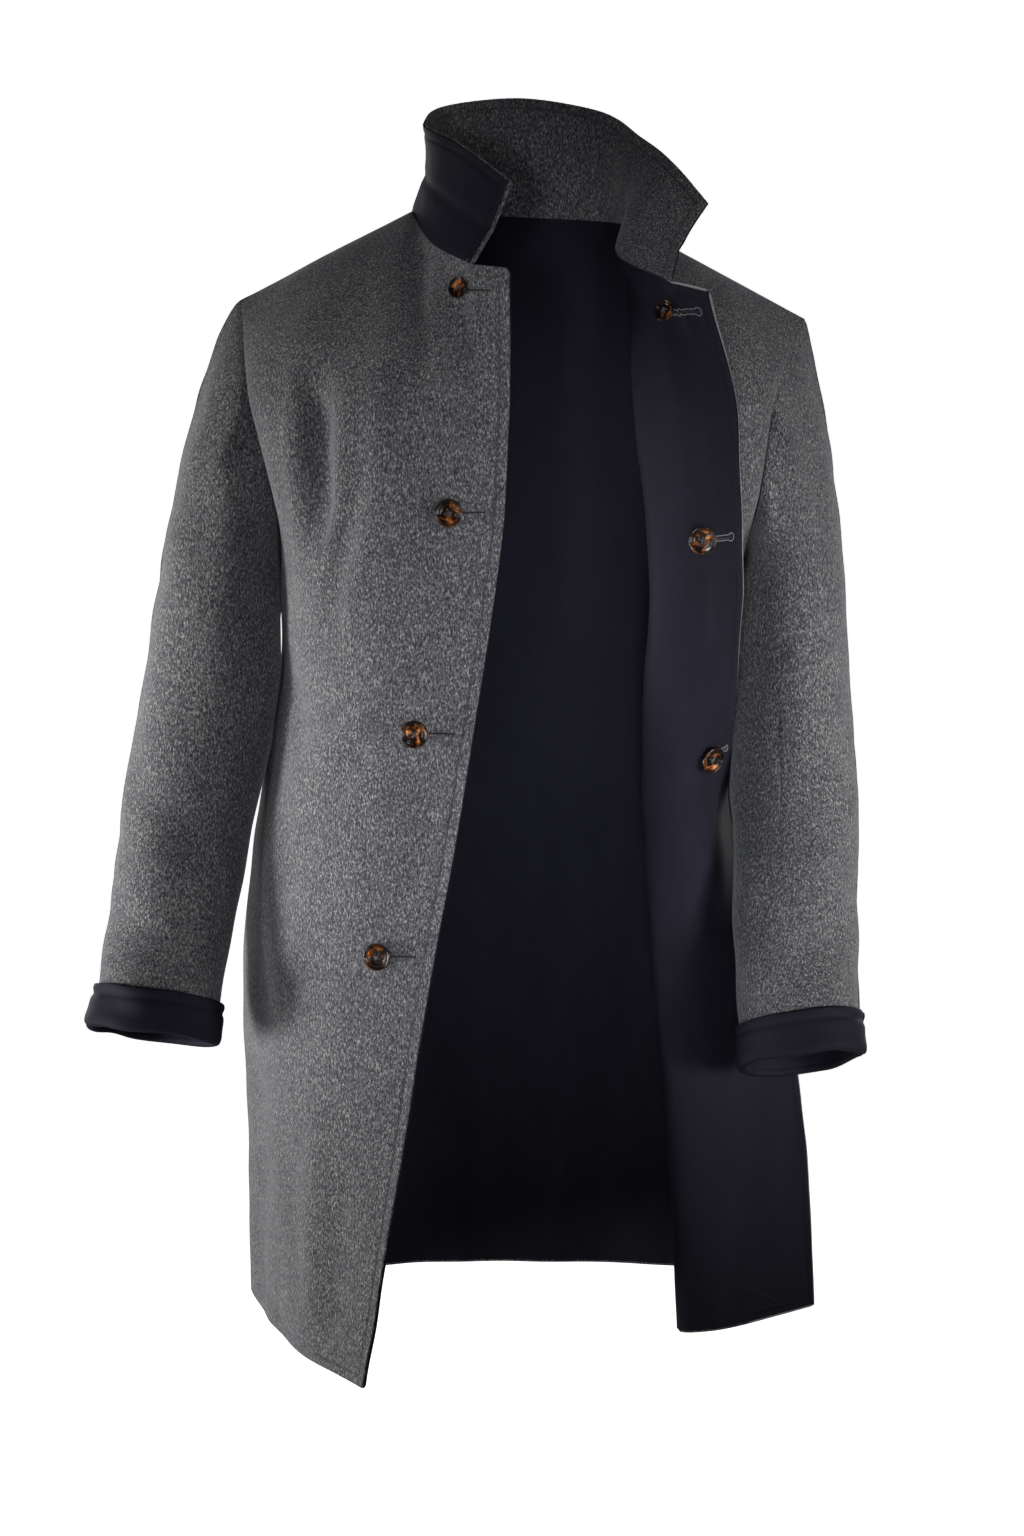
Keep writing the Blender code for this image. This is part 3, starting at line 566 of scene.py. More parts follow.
def roundCorner(panel, across, down, radius, upward=False):
    # a square corner drawn in to a round one
    x, y = np.clip(1 - across / radius, 0, 1), np.clip(1 - down / radius, 0, 1)
    moveAcross = radius * (x - x * np.sqrt(1 - y * y / 2))
    moveDown = radius * (y - y * np.sqrt(1 - x * x / 2)) * (-1 if upward else 1)
    panel["grid"] = (panel["grid"] + towards(panel["grid"], 1) * moveAcross[:, :, None]
                     + towards(panel["grid"], 0) * moveDown[:, :, None])


def drawnIn(panel, depth, amounts):
    # the sheet at a depth behind the face, its borders drawn in: top, bottom, first, last
    grid = panel["grid"] - panel["normal"] * np.broadcast_to(depth, panel["grid"].shape[:2])[:, :, None]
    across, down = towards(grid, 1), towards(grid, 0)
    for amount, border, way in zip(amounts, ("down", "downLeft", "across", "acrossLeft"),
                                   (down, -down, across, -across)):
        if np.any(amount):
            near = np.clip(1 - panel[border] / cloth["settle"], 0, 1)**2
            grid = grid + way * (amount * near)[:, :, None]
    return grid


def sinks(panel, deep=1.0):
    # how deep the topstitching and the seams lie in a face
    stitch = deep * cloth["stitchSink"] * bell(panel["stitch"] - cloth["stitchIn"], cloth["stitchWide"])
    return stitch + min(deep, 1.0) * cloth["seamSink"] * bell(panel["seam"], cloth["seamWide"])


def sample(values, r, c):
    r0 = np.clip(r.astype(int), 0, values.shape[0] - 2)
    c0 = np.clip(c.astype(int), 0, values.shape[1] - 2)
    u, v = (r - r0)[:, None], (c - c0)[:, None]
    return ((values[r0, c0] * (1 - v) + values[r0, c0 + 1] * v) * (1 - u)
            + (values[r0 + 1, c0] * (1 - v) + values[r0 + 1, c0 + 1] * v) * u)


def activate(made):
    bpy.ops.object.select_all(action="DESELECT")
    made.select_set(True)
    bpy.context.view_layer.objects.active = made


def setMode(mode):
    bpy.ops.object.mode_set(mode=mode)


def applyModifier(made, kind, **settings):
    activate(made)
    modifier = made.modifiers.new(kind.lower(), kind)
    for key, value in settings.items():
        setattr(modifier, key, value)
    bpy.ops.object.modifier_apply(modifier=modifier.name)


def layGrid(name, grid, stitchAway, outward, material):
    # a flat grid, each of its points moved onto the coat's form
    rows, columns = grid.shape[:2]
    bpy.ops.mesh.primitive_grid_add(x_subdivisions=columns - 1, y_subdivisions=rows - 1, size=1)
    made = bpy.context.object
    made.name = made.data.name = name
    flat = np.empty(len(made.data.vertices) * 3)
    made.data.vertices.foreach_get("co", flat)
    flat = flat.reshape(-1, 3)
    column = np.rint((flat[:, 0] + 0.5) * (columns - 1)).astype(int)
    row = np.rint((0.5 - flat[:, 1]) * (rows - 1)).astype(int)
    if outward > 0:
        column = columns - 1 - column
    made.data.vertices.foreach_set("co", grid[row, column].ravel())
    line = made.data.attributes.new("stitchLine", "FLOAT", "POINT")
    line.data.foreach_set("value", stitchAway[row, column].astype(np.float32))
    made.data.materials.append(material)
    made.data.update()
    return made


def finishPiece(made, replaced):
    activate(made)
    bpy.ops.object.shade_smooth()
    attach(made, "root")
    if replaced:
        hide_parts(*replaced)
    return made


def clothArea(grid):
    one = np.cross(grid[1:, :-1] - grid[:-1, :-1], grid[:-1, 1:] - grid[:-1, :-1])
    two = np.cross(grid[1:, :-1] - grid[1:, 1:], grid[:-1, 1:] - grid[1:, 1:])
    return (np.linalg.norm(one, axis=2).sum() + np.linalg.norm(two, axis=2).sum()) / 2


# each sheet as it is cut: width and length of the cloth it needs, and its own area
cuts = {
    "front_right_wool": (0.33, 1.0, 0.292), "front_right_navy": (0.325, 1.0, 0.289),
    "front_left_wool": (0.345, 1.0, 0.29), "front_left_navy": (0.35, 1.0, 0.29),
    "back_wool": (0.6, 1.0, 0.466), "back_navy": (0.6, 1.0, 0.46),
    "collar_navy": (0.525, 0.11, 0.042), "collar_wool": (0.525, 0.11, 0.042),
    "sleeve_right_under": (0.18, 0.66, 0.0605), "sleeve_left_under": (0.2, 0.66, 0.061),
    "sleeve_right_top": (0.355, 0.66, 0.125), "sleeve_left_top": (0.34, 0.66, 0.12),
    "sleeve_right_lining": (0.53, 0.66, 0.179), "sleeve_left_lining": (0.54, 0.66, 0.174),
    "cuff_right": (0.345, 0.04, 0.0137), "cuff_left": (0.345, 0.04, 0.0137),
}


def laySheet(name, panel, kind, replaced, lipHighlightWide=0.0):
    grid = panel[kind + "Grid"]
    # points within this width of the edge are marked for the painted lip highlight
    away = np.where(panel["stitch"] < lipHighlightWide, looks["stitchLine"]["lipMark"], panel["stitch"])
    made = layGrid(name, grid, away, panel["sign"], materials[kind])
    applyModifier(made, "SOLIDIFY", thickness=cloth[kind], offset=-1, use_rim=True)
    applyModifier(made, "BEVEL", width=cloth["edgeBevel"], segments=2, limit_method="ANGLE",
                  angle_limit=math.radians(cloth["bevelAngle"]))
    finishPiece(made, replaced)
    print(name, "faces", len(made.data.polygons), "area", round(clothArea(grid), 4))


# body panels
rightTable, leftTable, backTable = sectionTables()
rightGrid, leftGrid = (panelGrid(table, frontTop(body[top]), body["frontLeaves"], -1, frontShares)
                       for table, top in ((rightTable, "rightTop"), (leftTable, "leftTop")))
backTop = np.concatenate([shoulder(body["rightTop"])[::-1][:-1], backNeckline(),
                          shoulder(body["leftTop"])[1:]])
backGrid = panelGrid(backTable, backTop, body["backLeaves"], 1, backShares)
backGrid[underarmRow:, 0] = rightGrid[underarmRow:, -1]  # the side seams meet
backGrid[underarmRow:, -1] = leftGrid[underarmRow:, -1]
print("body grid", rightGrid.shape, backGrid.shape, "underarm row", underarmRow)

# the stood-up collar: its upper edge from the right end round the neck to the left end
collar = {
    "top": ((-0.009, -0.092, 0.03), (-0.052, -0.064, 0.06), (-0.082, -0.004, 0.078), (-0.066, 0.056, 0.09),
            (0.0, 0.084, 0.096), (0.068, 0.058, 0.085), (0.1, 0.01, 0.064), (0.127, -0.036, 0.041),
            (0.152, -0.064, 0.011)),
    "knots": (0, 3, 6, 7.5, 9, 10.5, 12, 15, 18), "middle": (0.0, -0.02, 0.0), "bow": -0.006,
    "length": 0.095, "step": 0.0042, "round": 0.003, "lip": 0.003,
    "rollAt": 0.4, "rollWide": 0.055, "rollDip": 0.0016,
    "topLip": ((0, 3, 8, 18), (0.0016, 0.0012, -0.0003, -0.0004)),  # by the count along the collar
    "stitchFrom": 0.4, "stitchSteps": (60, 400),
}
collarRows = graded(collar["length"], cloth["seamStep"], cloth["edgeStep"], collar["step"])
neckStart = graded(collar["length"], start=cloth["edgeStep"])
collarCount = np.concatenate([6 * neckStart, 6 + 6 * backNeckShares[1:], 12 + 6 * (1 - neckStart[::-1])[1:]])
collarBase = np.concatenate([alongCurve(body["rightTop"][1:4], neckStart)[:-1], backNeckline(),
                             alongCurve(body["leftTop"][1:4], neckStart)[::-1][1:]])
collarTop = through(collar["knots"], collar["top"], collarCount)
standOut = unit((collarBase - np.array(collar["middle"])) * (1, 1, 0))
collarBow = (collar["bow"] * np.sin(np.pi * collarRows)
             - collar["rollDip"] * bell(collarRows - collar["rollAt"], collar["rollWide"]))
collarGrid = np.array([collarBase + (collarTop - collarBase) * row + standOut * bow
                       for row, bow in zip(collarRows, collarBow)])

# sleeve rings: height, centre, half width, half depth, degrees leaned forward and outward
sleeves = {
    "right": {"rows": ((-0.3, -0.2575, 0.004, 0.0505, 0.06, 0, 6),
                       (-0.4, -0.2665, 0.004, 0.058, 0.058, 4, 8),
                       (-0.5, -0.2855, -0.012, 0.0565, 0.055, 13, 9),
                       (-0.6, -0.301, -0.04, 0.053, 0.052, 18, 9),
                       (-0.687, -0.3145, -0.07, 0.052, 0.05, 20, 9)),
              "capLeaves": (-0.085, 0.0, -0.085), "underLeaves": (-0.012, 0.0, -0.02), "side": -1},
    "left": {"rows": ((-0.3, 0.232, 0.004, 0.0425, 0.066, 0, 3),
                      (-0.4, 0.234, 0.0, 0.047, 0.062, 5, 3),
                      (-0.5, 0.2355, -0.028, 0.0515, 0.056, 16, 4),
                      (-0.6, 0.232, -0.066, 0.053, 0.052, 23, 6),
                      (-0.7, 0.236, -0.108, 0.049, 0.05, 25, 8)),
             "capLeaves": (0.03, 0.0, -0.1), "underLeaves": (0.012, 0.0, -0.02), "side": 1},
    "capSpread": 0.03, "under": (5, 11),
    "capLong": 0.2, "armLong": 0.4, "seeds": {"right": 11, "left": 13}, "wave": 0.0008, "waveSize": 0.075,
}
sleeves["cap"] = graded(sleeves["capLong"], start=cloth["seamStep"])[:-1]
sleeves["arm"] = graded(sleeves["armLong"])


def sleeveGrid(sleeve, front, back):
    armhole = np.concatenate([front[:underarmRow + 1, -1], back[:underarmRow][::-1]])
    turn = ringCount * 2 * np.pi / 16
    top, end = sleeve["rows"][0][0], sleeve["rows"][-1][0]
    heights = top + (end - top) * sleeves["arm"]
    table = through([-row[0] for row in sleeve["rows"]], [row[1:] for row in sleeve["rows"]], -heights)
    rings = []
    for height, (x, y, wide, deep, forward, outward) in zip(heights, table):
        ahead, aside = np.radians(forward), np.radians(outward)
        lateral = np.array([sleeve["side"] * np.cos(aside), 0, np.sin(aside)])
        depth = np.array([0, -np.cos(ahead), np.sin(ahead)])
        rings.append(np.array([x, y, height]) + wide * np.cos(turn)[:, None] * lateral
                     + deep * np.sin(turn)[:, None] * depth)
    low = ((1 - np.cos(turn)) / 2)[:, None]
    leave = (1 - low) * np.array(sleeve["capLeaves"]) + low * np.array(sleeve["underLeaves"])
    leave[:, 1] -= sleeves["capSpread"] * np.sin(turn)
    drop = (armhole[:, 2] - rings[0][:, 2])[:, None]
    arrive = (rings[1] - rings[0]) / (heights[0] - heights[1]) * drop
    return np.array([hermite(armhole, leave, rings[0], arrive, t) for t in sleeves["cap"]] + rings)


# how far each point is from a seam and from a stitched edge, then the folds and the rounded corners
right, left, back = newPanel(rightGrid, 1), newPanel(leftGrid, -1), newPanel(backGrid, 1)
neck = newPanel(collarGrid, -1)
for side, front, edge in (("right", right, backGrid[:, 0]), ("left", left, backGrid[:, -1])):
    grid = sleeveGrid(sleeves[side], front["grid"], edge)
    sleeves[side]["panel"] = newPanel(grid, sleeves[side]["side"], ring=True)
shareNormals([right, left, back, neck, sleeves["right"]["panel"], sleeves["left"]["panel"]])

frontEnd = np.arange(len(frontShares))[None, :] <= endColumn  # the columns in front of the collar
for panel in (right, left):
    topEdge, neckSeam = np.where(frontEnd, panel["down"], 1.0), np.where(frontEnd, 1.0, panel["down"])
    hemCorner = np.where(panel["across"] < cloth["hemRun"], panel["downLeft"], 1.0)
    panel["seam"] = np.minimum(panel["acrossLeft"], neckSeam)
    panel["stitch"] = np.minimum.reduce([panel["across"], hemCorner, topEdge])
back["seam"] = np.minimum.reduce([back["across"], back["acrossLeft"], back["down"]])
neck["seam"] = neck["down"]
neck["stitch"] = np.minimum.reduce([neck[key] for key in ("across", "acrossLeft", "downLeft")])
for panel, table, seed, wave, size in (  # the last three give the ripples between the folds
        (right, folds["right"], 3, 0.0007, 0.07), (left, folds["left"], 5, 0.0006, 0.08),
        (back, folds["back"], 7, 0.0009, 0.09), (neck, (), 9, 0.0004, 0.05)):
    raiseFolds(panel, table, seed, wave, size)
for panel in (right, left):
    roundCorner(panel, panel["across"], panel["down"], body["cornerRound"])
    roundCorner(panel, panel["across"], panel["downLeft"], body["hemRound"], upward=True)
roundCorner(neck, neck["across"], neck["downLeft"], collar["round"], upward=True)

seamGap = cloth["seamGap"]
for name, panel, lip, outer, inner in (  # the navy's edge drawn in, and how deep the lines lie in either face
        ("right", right, cloth["edgeReach"], 1.0, cloth["faint"]), ("left", left, cloth["lip"], 0.35, 1.15)):
    panel["woolGrid"] = drawnIn(panel, sinks(panel, outer), (np.where(frontEnd, 0, seamGap), 0, 0, seamGap))
    panel["navyGrid"] = drawnIn(panel, innerDepth - sinks(panel, inner),
                                (np.where(frontEnd, lip, 0), lip, lip, 0))
    for kind in ("wool", "navy"):
        # the left front's wool lip is marked for a painted highlight
        pale = cloth["lip"] + cloth["lipMargin"] if (name, kind) == ("left", "wool") else 0.0
        laySheet(f"front_{name}_{kind}_cloth", panel, kind, [f"front_{name}_{kind}"],
                 pale)
back["woolGrid"] = drawnIn(back, sinks(back), (seamGap, 0, seamGap, seamGap))
back["navyGrid"] = drawnIn(back, innerDepth - sinks(back, cloth["faint"]), (0, cloth["lip"], 0, 0))
for kind in ("wool", "navy"):
    laySheet(f"back_{kind}_cloth", back, kind, [f"back_{kind}"])
print("body panels made")

# collar: navy outside, wool inside
topLip = np.interp(collarCount, *collar["topLip"])[None, :]
neck["navyGrid"] = drawnIn(neck, sinks(neck), (seamGap, topLip, collar["lip"], cloth["edgeReach"]))
neck["woolGrid"] = drawnIn(neck, cloth["navy"] + cloth["between"] - sinks(neck, cloth["faint"]),
                           (seamGap, 0, 0, 0))
for kind in ("navy", "wool"):
    laySheet(f"collar_{kind}_cloth", neck, kind, [f"collar_{kind}"])
print("collar made")

# sleeves: a top and an under piece of wool, and a navy lining round the inside
for side in ("right", "left"):
    panel = sleeves[side]["panel"]
    panel["seam"] = panel["down"]
    raiseFolds(panel, folds["sleeve" + side.capitalize()], sleeves["seeds"][side],
               sleeves["wave"], sleeves["waveSize"])
    first, last = (int(np.argmin(np.abs(ringCount - place))) for place in sleeves["under"])
    parts = {"under": np.arange(first, last + 1),
             "top": np.concatenate([np.arange(last, len(ringCount) - 1), np.arange(0, first + 1)])}
    for part, picked in parts.items():
        piece = newPanel(panel["grid"][:, picked], panel["sign"])
        piece["normal"], piece["seam"] = panel["normal"][:, picked], piece["down"]
        piece["woolGrid"] = drawnIn(piece, sinks(piece), (seamGap, 0, seamGap, seamGap))
        laySheet(f"sleeve_{side}_{part}_cloth", piece, "wool", [f"sleeve_{side}_{part}"])
    panel["navyGrid"] = drawnIn(panel, innerDepth, (0, 0, 0, 0))
    laySheet(f"sleeve_{side}_lining", panel, "navy", [])
print("sleeves made")

# turned-up cuffs: the section (out from the sleeve, up from its end), carried round the sleeve
cuffs = {
    "section": ((0.0005, 0.0318), (0.002, 0.033), (0.0038, 0.0322), (0.0044, 0.0285), (0.0032, 0.024),
                (0.0048, 0.0205), (0.0056, 0.01), (0.0063, 0.002), (0.005, -0.0026), (0.001, -0.0038),
                (-0.0028, -0.003), (-0.0034, 0.002), (-0.002, 0.004), (0.0003, 0.01), (0.0005, 0.0318)),
    "points": 52, "waveOut": 0.0017, "waveUp": 0.0016, "waves": (2, 3, 5, 7), "topWave": 0.35,
    "height": 0.034, "inside": 0.0005, "easeOut": 0.004, "seeds": {"right": 21, "left": 24},
    "waveFall": 0.6, "weld": 0.00002,
}
outline = alongCurve(cuffs["section"], np.linspace(0, 1, cuffs["points"]))
low = np.clip(1 - outline[:, 1] / cuffs["height"], 0, 1)
outer = np.clip((outline[:, 0] - cuffs["inside"]) / cuffs["easeOut"], 0, 1)
more = cuffs["topWave"] + (1 - cuffs["topWave"]) * low  # the waves grow towards the end of the sleeve
for side in ("right", "left"):
    panel = sleeves[side]["panel"]
    up = unit(panel["grid"][-2] - panel["grid"][-1])
    around = np.linspace(0, 2 * np.pi, len(ringCount))
    dice = np.random.RandomState(cuffs["seeds"][side])
    waveOut, waveUp = (
        sum(np.sin(n * around + phase) / n**cuffs["waveFall"]
            for n, phase in zip(cuffs["waves"], dice.rand(4) * 2 * np.pi)) for turn in range(2))
    grid = np.empty((len(outline), len(ringCount), 3))
    for column in range(len(ringCount)):
        rise = outline[:, 1] + cuffs["waveUp"] * waveUp[column] * more
        out = outline[:, 0] + cuffs["waveOut"] * waveOut[column] * (low * outer)
        above = np.interp(rise, panel["downLeft"][::-1, column], np.arange(len(panel["grid"]))[::-1])
        beside = np.full(len(outline), float(column))
        grid[:, column] = (sample(panel["grid"], above, beside)
                           + sample(panel["normal"], above, beside) * out[:, None]
                           + up[column] * np.minimum(rise, 0)[:, None])
    made = layGrid(f"cuff_{side}_cloth", grid, np.ones(grid.shape[:2]), -sleeves[side]["side"],
                   materials["navy"])
    activate(made)
    setMode("EDIT")
    bpy.ops.mesh.select_all(action="SELECT")
    bpy.ops.mesh.remove_doubles(threshold=cuffs["weld"])
    bpy.ops.mesh.normals_make_consistent(inside=False)
    setMode("OBJECT")
    finishPiece(made, [f"cuff_{side}"])
    print(made.name, "area", round(clothArea(grid) / 2, 4))
    wide, long, area = cuts[f"cuff_{side}"]
print("cuffs made")

# topstitching: one stitch is modelled, then copied along lines laid out on a panel (metres across and down)
stitching = {"pitch": 0.0034, "size": (0.0024, 0.00065, 0.0005), "sink": 0.00005,
             "sides": 6, "rings": 5, "taper": 0.86, "taperFrom": 0.2,
             "hemRise": 0.026, "topStart": 0.001, "lineStep": 0.0012,
             "threads": {"wool": "greyThread", "navy": "navyThread"}}
bpy.ops.mesh.primitive_uv_sphere_add(segments=stitching["sides"], ring_count=stitching["rings"], radius=0.5)
stitch = bpy.context.object
stitch.name = "stitch"
stitch.rotation_euler = (0, math.pi / 2, 0)
bpy.ops.object.transform_apply(rotation=True)
for vertex in stitch.data.vertices:
    vertex.select = abs(vertex.co.x) > stitching["taperFrom"]
setMode("EDIT")
bpy.ops.transform.resize(value=(1.0, stitching["taper"], stitching["taper"]), center_override=(0, 0, 0))
setMode("OBJECT")


def copyOf(shape):
    one = shape.copy()
    one.data = shape.data.copy()
    scene.collection.objects.link(one)
    return one


def copyShape(name, shape, places, kind):
    # each place: middle, way along, way out, and size along those
    copies = []
    for middle, along, out, size in places:
        one = copyOf(shape)
        out = Vector(out).normalized()
        along = Vector(along)
        along = (along - out * along.dot(out)).normalized()
        axes = Matrix((along, out.cross(along), out)).transposed().to_4x4()
        one.matrix_world = Matrix.Translation(Vector(middle)) @ axes @ Matrix.Diagonal((*size, 1.0))
        copies.append(one)
    bpy.ops.object.select_all(action="DESELECT")
    for one in copies:
        one.select_set(True)
    made = copies[0]
    bpy.context.view_layer.objects.active = made
    bpy.ops.object.join()
    bpy.ops.object.transform_apply(location=True, rotation=True, scale=True)
    made.name = made.data.name = name
    made.data.materials.clear()
    made.data.materials.append(materials[kind])
    return made


def locate(panel, across, down, key="down"):
    # the row and column, with fractions, of places given by how far across and down they are
    rows, columns = panel["grid"].shape[:2]
    r, c = np.full(len(across), rows / 2.0), np.full(len(across), columns / 2.0)
    for turn in range(4):
        c = np.array([np.interp(a, panel["across"][int(round(row))], np.arange(columns))
                      for a, row in zip(across, r)])
        r = np.array([np.interp(d, panel[key][:, int(round(column))], np.arange(rows))
                      for d, column in zip(down, c)])
    return r, c


def stitchPlaces(points, ways, settings):
    run = lengths(points)
    count = max(1, int(run[-1] / settings["pitch"]))
    at = (np.arange(count) + 0.5) * run[-1] / count
    half = settings["size"][0] / 2
    ahead = pick(points, run, at + half) - pick(points, run, at - half)
    return [(middle + out * settings["sink"], along, out, settings["size"])
            for middle, along, out in zip(pick(points, run, at), ahead, pick(ways, run, at))]


def twoFaces(panel, r, c, outer, inner):
    # the same places on the outer cloth's face and on the inner cloth's, with the ways out
    ways = unit(sample(panel["normal"], r, c))
    behind = sample(panel[inner + "Grid"], r, c) - ways * cloth[inner]
    return (sample(panel[outer + "Grid"], r, c), ways), (behind, -ways)


def sewLine(name, panel, r, c, faces, settings):
    for face, (points, ways) in zip(faces, twoFaces(panel, r, c, *faces)):
        places = stitchPlaces(points, ways, settings)
        made = copyShape(name.format(face), stitch, places, settings["threads"][face])
        finishPiece(made, [])


inset = cloth["stitchIn"]
for name, panel in (("right", right), ("left", left)):
    deep = panel["down"][-1].min() - inset
    topEnd, hemEnd = panel["across"][0, endColumn] + inset, cloth["hemRun"]
    corners = np.array(((topEnd, stitching["topStart"]), (topEnd, inset), (inset, inset), (inset, deep),
                        (hemEnd, deep), (hemEnd, deep - stitching["hemRise"])))
    run = lengths(corners)
    path = pick(corners, run, np.linspace(0, run[-1], int(run[-1] / stitching["lineStep"])))
    r, c = locate(panel, *path.T)
    sewLine(f"stitching_{name}_{{}}", panel, r, c, ("wool", "navy"), stitching)


def readAt(values, r, c):
    return sample(values[:, :, None], r, c)[:, 0]


lastRow, lastColumn = (count - 1.0 for count in neck["grid"].shape[:2])
upSteps, acrossSteps = collar["stitchSteps"]
rising = np.linspace(collar["stitchFrom"], lastRow, upSteps)
r = np.concatenate([rising, np.full(acrossSteps, lastRow),
                    np.linspace(lastRow, collar["stitchFrom"], upSteps)])
c = np.concatenate([np.zeros(upSteps), np.linspace(0, lastColumn, acrossSteps),
                    np.full(upSteps, lastColumn)])
down = np.minimum(readAt(neck["down"], r, c),
                  readAt(neck["down"], np.full(len(c), lastRow), c) - inset)
across = np.clip(readAt(neck["across"], r, c), inset,
                 readAt(neck["across"], r, np.full(len(c), lastColumn)) - inset)
r, c = locate(neck, across, down)
sewLine("stitching_collar_{}", neck, r, c, ("navy", "wool"), stitching)
print("topstitching made")

# sew-through buttons with a raised rim and a dished middle, and the keyhole buttonholes beside them
buttons = {
    "sides": 44, "thick": 0.21, "middle": 0.165, "smooth": 50,  # sizes in shares of the radius
    "under": 0.93, "underInset": 0.2, "underDrop": -0.05,
    "rings": (  # wide, up
        (0.025, 0.06), (0.045, 0.025), (0.045, 0.0), (0.03, -0.02), (0.025, -0.1), (0.03, -0.015),
        (0.15, 0.0), (0.02, -0.01), (0.02, -0.06), (0.03, -0.01), (0.25, 0.0)),
    "holeCircle": 0.22, "hole": 0.085, "holeSides": 14,
    "lift": 0.0022, "leanLift": 0.35,
    "rows": (  # front, number, height, radius, from the edge, degrees rolled, degrees turned aside
        ("right", 1, -0.057, 0.0098, 0.047, 15, -6), ("right", 2, -0.235, 0.0125, 0.047, 55, -9),
        ("right", 3, -0.416, 0.0125, 0.047, 100, 9), ("right", 4, -0.603, 0.0125, 0.047, 10, 2),
        ("left", 1, -0.075, 0.0098, 0.047, 70, -14), ("left", 2, -0.255, 0.0125, 0.047, 30, 0),
        ("left", 3, -0.441, 0.0125, 0.066, 120, -18), ("left", 4, -0.612, 0.0125, 0.047, 40, 0)),
    "thread": 0.17, "threadSpan": 2.25, "threadUp": (0.21, 0.24),
    "shankIn": 0.8, "shankDown": 0.3, "shankSpan": 2.2, "shankUp": 0.3,
    "eyeletAt": 0.017, "eyelet": 0.0033, "slot": 0.0021, "slotEnd": 0.046, "slitStart": 0.0158,
    "eyeletPoints": 24, "pathPoints": 90,
    "purl": {"pitch": 0.00095, "size": (0.0012, 0.00085, 0.00065), "sink": 0.0001,
             "threads": {"wool": "greyThread", "navy": "paleThread"}},
    # the cut: near-black copies along the slot, painted shade in the opening
    "slit": {"pitch": 0.0018, "size": (0.004, 0.0023, 0.0008), "sink": -0.0001,
             "threads": {"wool": "slit", "navy": "slit"}},
}


def holeWay(turn):
    angle = (turn + 0.5) * math.pi / 2
    return Vector((math.cos(angle), math.sin(angle), 0))


def modelButton(radius):
    bpy.ops.mesh.primitive_cylinder_add(
        vertices=buttons["sides"], radius=radius, depth=buttons["thick"] * radius,
        location=(0, 0, buttons["middle"] * radius))
    made = bpy.context.object
    bpy.ops.object.transform_apply(location=True)
    for face in made.data.polygons:
        face.select = face.normal.z < -0.9
    setMode("EDIT")
    bpy.ops.mesh.select_mode(type="FACE")
    bpy.ops.transform.resize(value=(buttons["under"], buttons["under"], 1.0), center_override=(0, 0, 0))
    bpy.ops.mesh.inset(thickness=buttons["underInset"] * radius)
    bpy.ops.transform.translate(value=(0, 0, buttons["underDrop"] * radius))
    setMode("OBJECT")
    for face in made.data.polygons:
        face.select = face.normal.z > 0.9
    setMode("EDIT")
    for wide, up in buttons["rings"]:
        bpy.ops.mesh.inset(thickness=wide * radius)
        bpy.ops.transform.translate(value=(0, 0, up * radius))
    setMode("OBJECT")
    applyModifier(made, "SUBSURF", levels=1, render_levels=1)
    for turn in range(4):
        bpy.ops.mesh.primitive_cylinder_add(vertices=buttons["holeSides"], radius=buttons["hole"] * radius,
                                            depth=2 * radius,
                                            location=holeWay(turn) * (buttons["holeCircle"] * radius))
        cutter = bpy.context.object
        applyModifier(made, "BOOLEAN", object=cutter, solver="EXACT", operation="DIFFERENCE")
        bpy.data.objects.remove(cutter)
    away = made.data.attributes.new("fromCentre", "FLOAT", "POINT")
    away.data.foreach_set("value", [point.co.xy.length / radius for point in made.data.vertices])
    return made


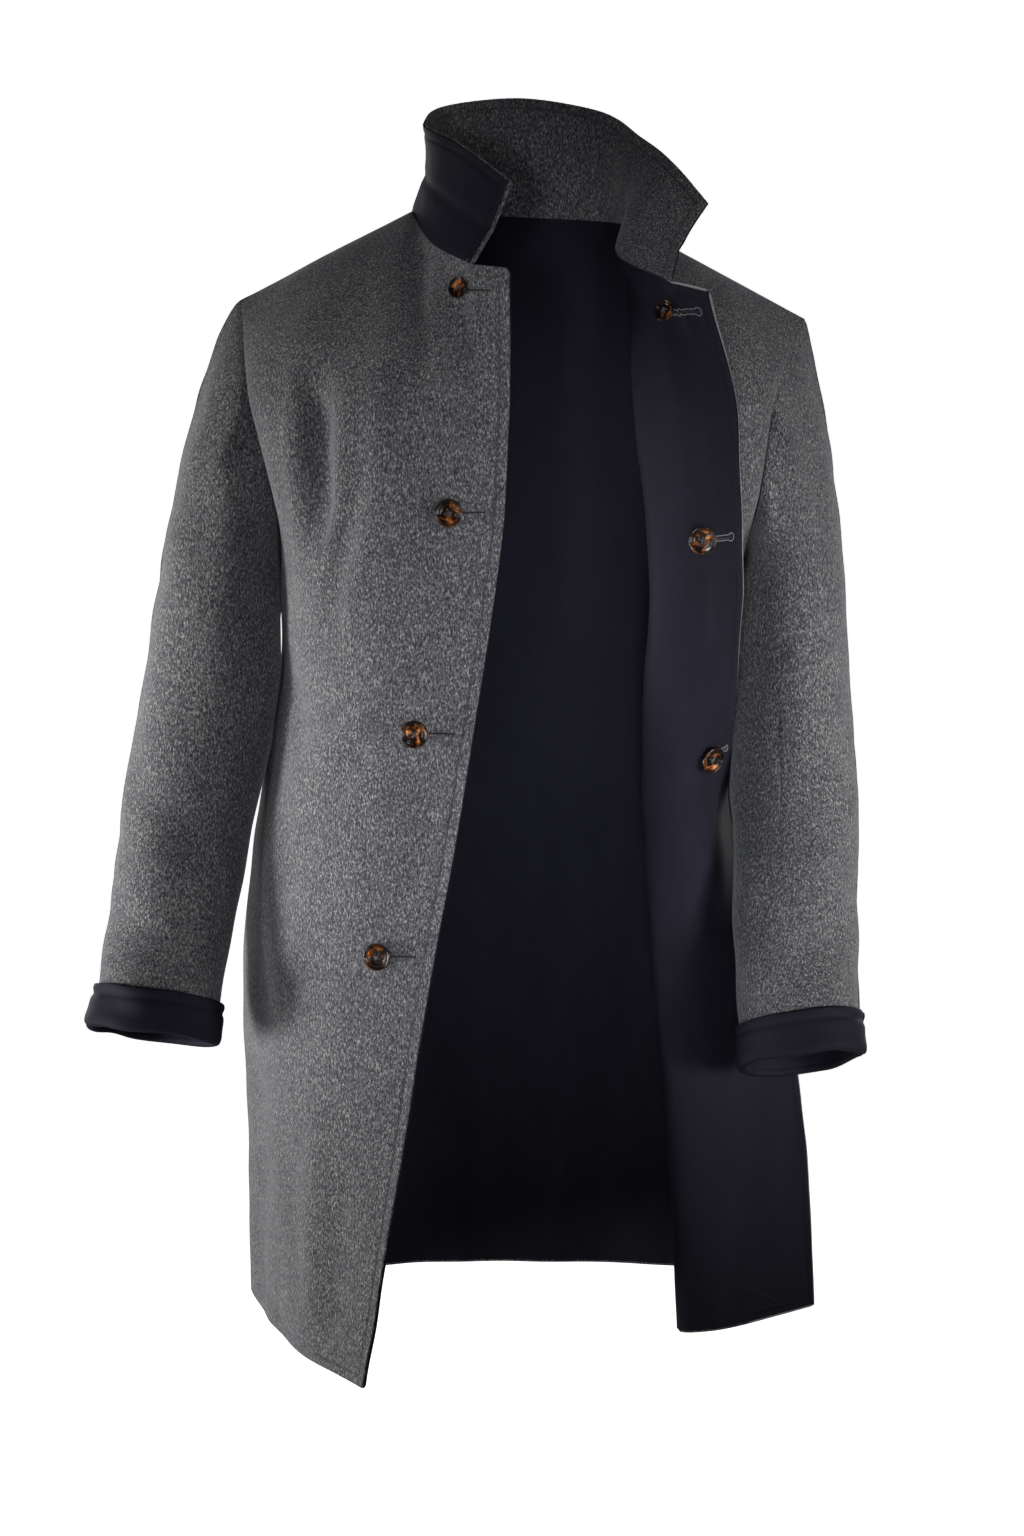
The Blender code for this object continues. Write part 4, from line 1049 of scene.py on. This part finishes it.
shapes = {radius: modelButton(radius) for radius in sorted({row[3] for row in buttons["rows"]})}
for panel in (right, left):
    panel["fall"] = -panel["grid"][:, :, 2]
for front, number, height, radius, fromEdge, roll, aside in buttons["rows"]:
    panel = right if front == "right" else left
    outer = front == "right"
    r, c = locate(panel, np.array([fromEdge]), np.array([-height]), "fall")
    faces = twoFaces(panel, r, c, "wool", "navy")
    spot, way = (part[0] for part in faces[0 if outer else 1])
    lean = Matrix.Rotation(math.radians(-aside if outer else aside), 3, "Z")
    way = lean @ Vector(way)
    leanLift = radius * math.sin(math.radians(abs(aside))) * buttons["leanLift"]
    spot = Vector(spot) + way * (buttons["lift"] + leanLift)
    one = copyOf(shapes[radius])
    turned = way.to_track_quat("Z", "Y").to_matrix().to_4x4() @ Matrix.Rotation(math.radians(roll), 4, "Z")
    one.matrix_world = Matrix.Translation(spot) @ turned
    activate(one)
    bpy.ops.object.transform_apply(location=True, rotation=True, scale=True)
    one.data.materials.append(materials["horn"])
    one.name = one.data.name = f"button_{front}_{number}_horn"
    bpy.ops.object.shade_smooth_by_angle(angle=math.radians(buttons["smooth"]))
    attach(one, "root")
    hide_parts(f"button_{front}_{number}")

    # thread: two crossed strands on the face and four down to the cloth
    strands, thick, lift = [], buttons["thread"] * radius, buttons["lift"]
    for turn in range(4):
        hole = turned.to_3x3() @ holeWay(turn) * (buttons["holeCircle"] * radius)
        if turn < 2:
            strands.append((spot + way * (buttons["threadUp"][turn] * radius), hole, way,
                            (buttons["threadSpan"] * buttons["holeCircle"] * radius, thick, thick)))
        strands.append((spot + hole * buttons["shankIn"] - way * (buttons["shankDown"] * lift), way, hole,
                        (buttons["shankSpan"] * lift + buttons["shankUp"] * radius, thick, thick)))
    made = copyShape(f"button_{front}_{number}_thread", stitch, strands, "greyThread")
    finishPiece(made, [])

    # keyhole: eyelet near the edge, slot under the button, sewn on both faces; the cut is a row of near-black
    # copies, painted shade in the opening
    bend = math.asin(buttons["slot"] / buttons["eyelet"])
    ring = [(buttons["eyeletAt"] - buttons["eyelet"] * math.cos(angle - math.pi),
             buttons["eyelet"] * math.sin(angle - math.pi))
            for angle in np.linspace(bend, 2 * math.pi - bend, buttons["eyeletPoints"])]
    outline = [(buttons["slotEnd"], ring[0][1]), *ring, (buttons["slotEnd"], ring[-1][1])]
    middle = [(buttons["slitStart"], 0.0), (buttons["slotEnd"], 0.0)]
    for label, path in (("purl", np.array(outline)), ("slit", np.array(middle))):
        run = lengths(path)
        across, up = pick(path, run, np.linspace(0, run[-1], buttons["pathPoints"])).T
        r, c = locate(panel, across, -height - up, "fall")
        sewLine(f"buttonhole_{front}_{number}_{{}}_{label}", panel, r, c, ("wool", "navy"), buttons[label])
for shape in (*shapes.values(), stitch):
    bpy.data.objects.remove(shape)
print("buttons and buttonholes made")

# the pale floor, swept up behind
bpy.ops.mesh.primitive_plane_add(size=studio["sweepSize"],
                                 location=(0, studio["sweepMiddle"], studio["floor"]))
sweep = bpy.context.object
sweep.name = "studio_sweep"
bpy.ops.object.transform_apply(location=True)
for edge in sweep.data.edges:
    edge.select = all(sweep.data.vertices[v].co.y > studio["sweepMiddle"] for v in edge.vertices)
for vertex in sweep.data.vertices:
    vertex.select = vertex.co.y > studio["sweepMiddle"]
for face in sweep.data.polygons:
    face.select = False
setMode("EDIT")
bpy.ops.mesh.select_mode(type="EDGE")
bpy.ops.mesh.extrude_region_move(TRANSFORM_OT_translate={"value": (0, 0, studio["sweepHeight"])})
setMode("OBJECT")
applyModifier(sweep, "BEVEL", width=studio["sweepCurve"], segments=studio["sweepSteps"], limit_method="ANGLE")
activate(sweep)
bpy.ops.object.shade_smooth()
paper, start, shader = newMaterial("paleSweep", {"Roughness": 0.9, "Emission Strength": studio["sweepGlow"],
                                                 "Specular IOR Level": 0.1})
where = start.node("TexCoord", {}, out="Object")
grain = noise(start, where, studio["sweepGrain"], 2.0, 0.5, 0.0)
seen = start.node("LightPath", {}, out="Is Camera Ray")
feed(mixed(start, seen, (0.0, 0.0, 0.0, 1.0), (1.0, 1.0, 1.0, 1.0)), shader, "Emission Color")
pale = studio["sweepColour"]
shaded = [studio["grainShade"] * part for part in pale]
feed(mixed(start, grain, (*pale, 1.0), (*shaded, 1.0)), shader, "Base Color")
sweep.data.materials.append(paper)
sweep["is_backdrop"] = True

low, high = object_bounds()
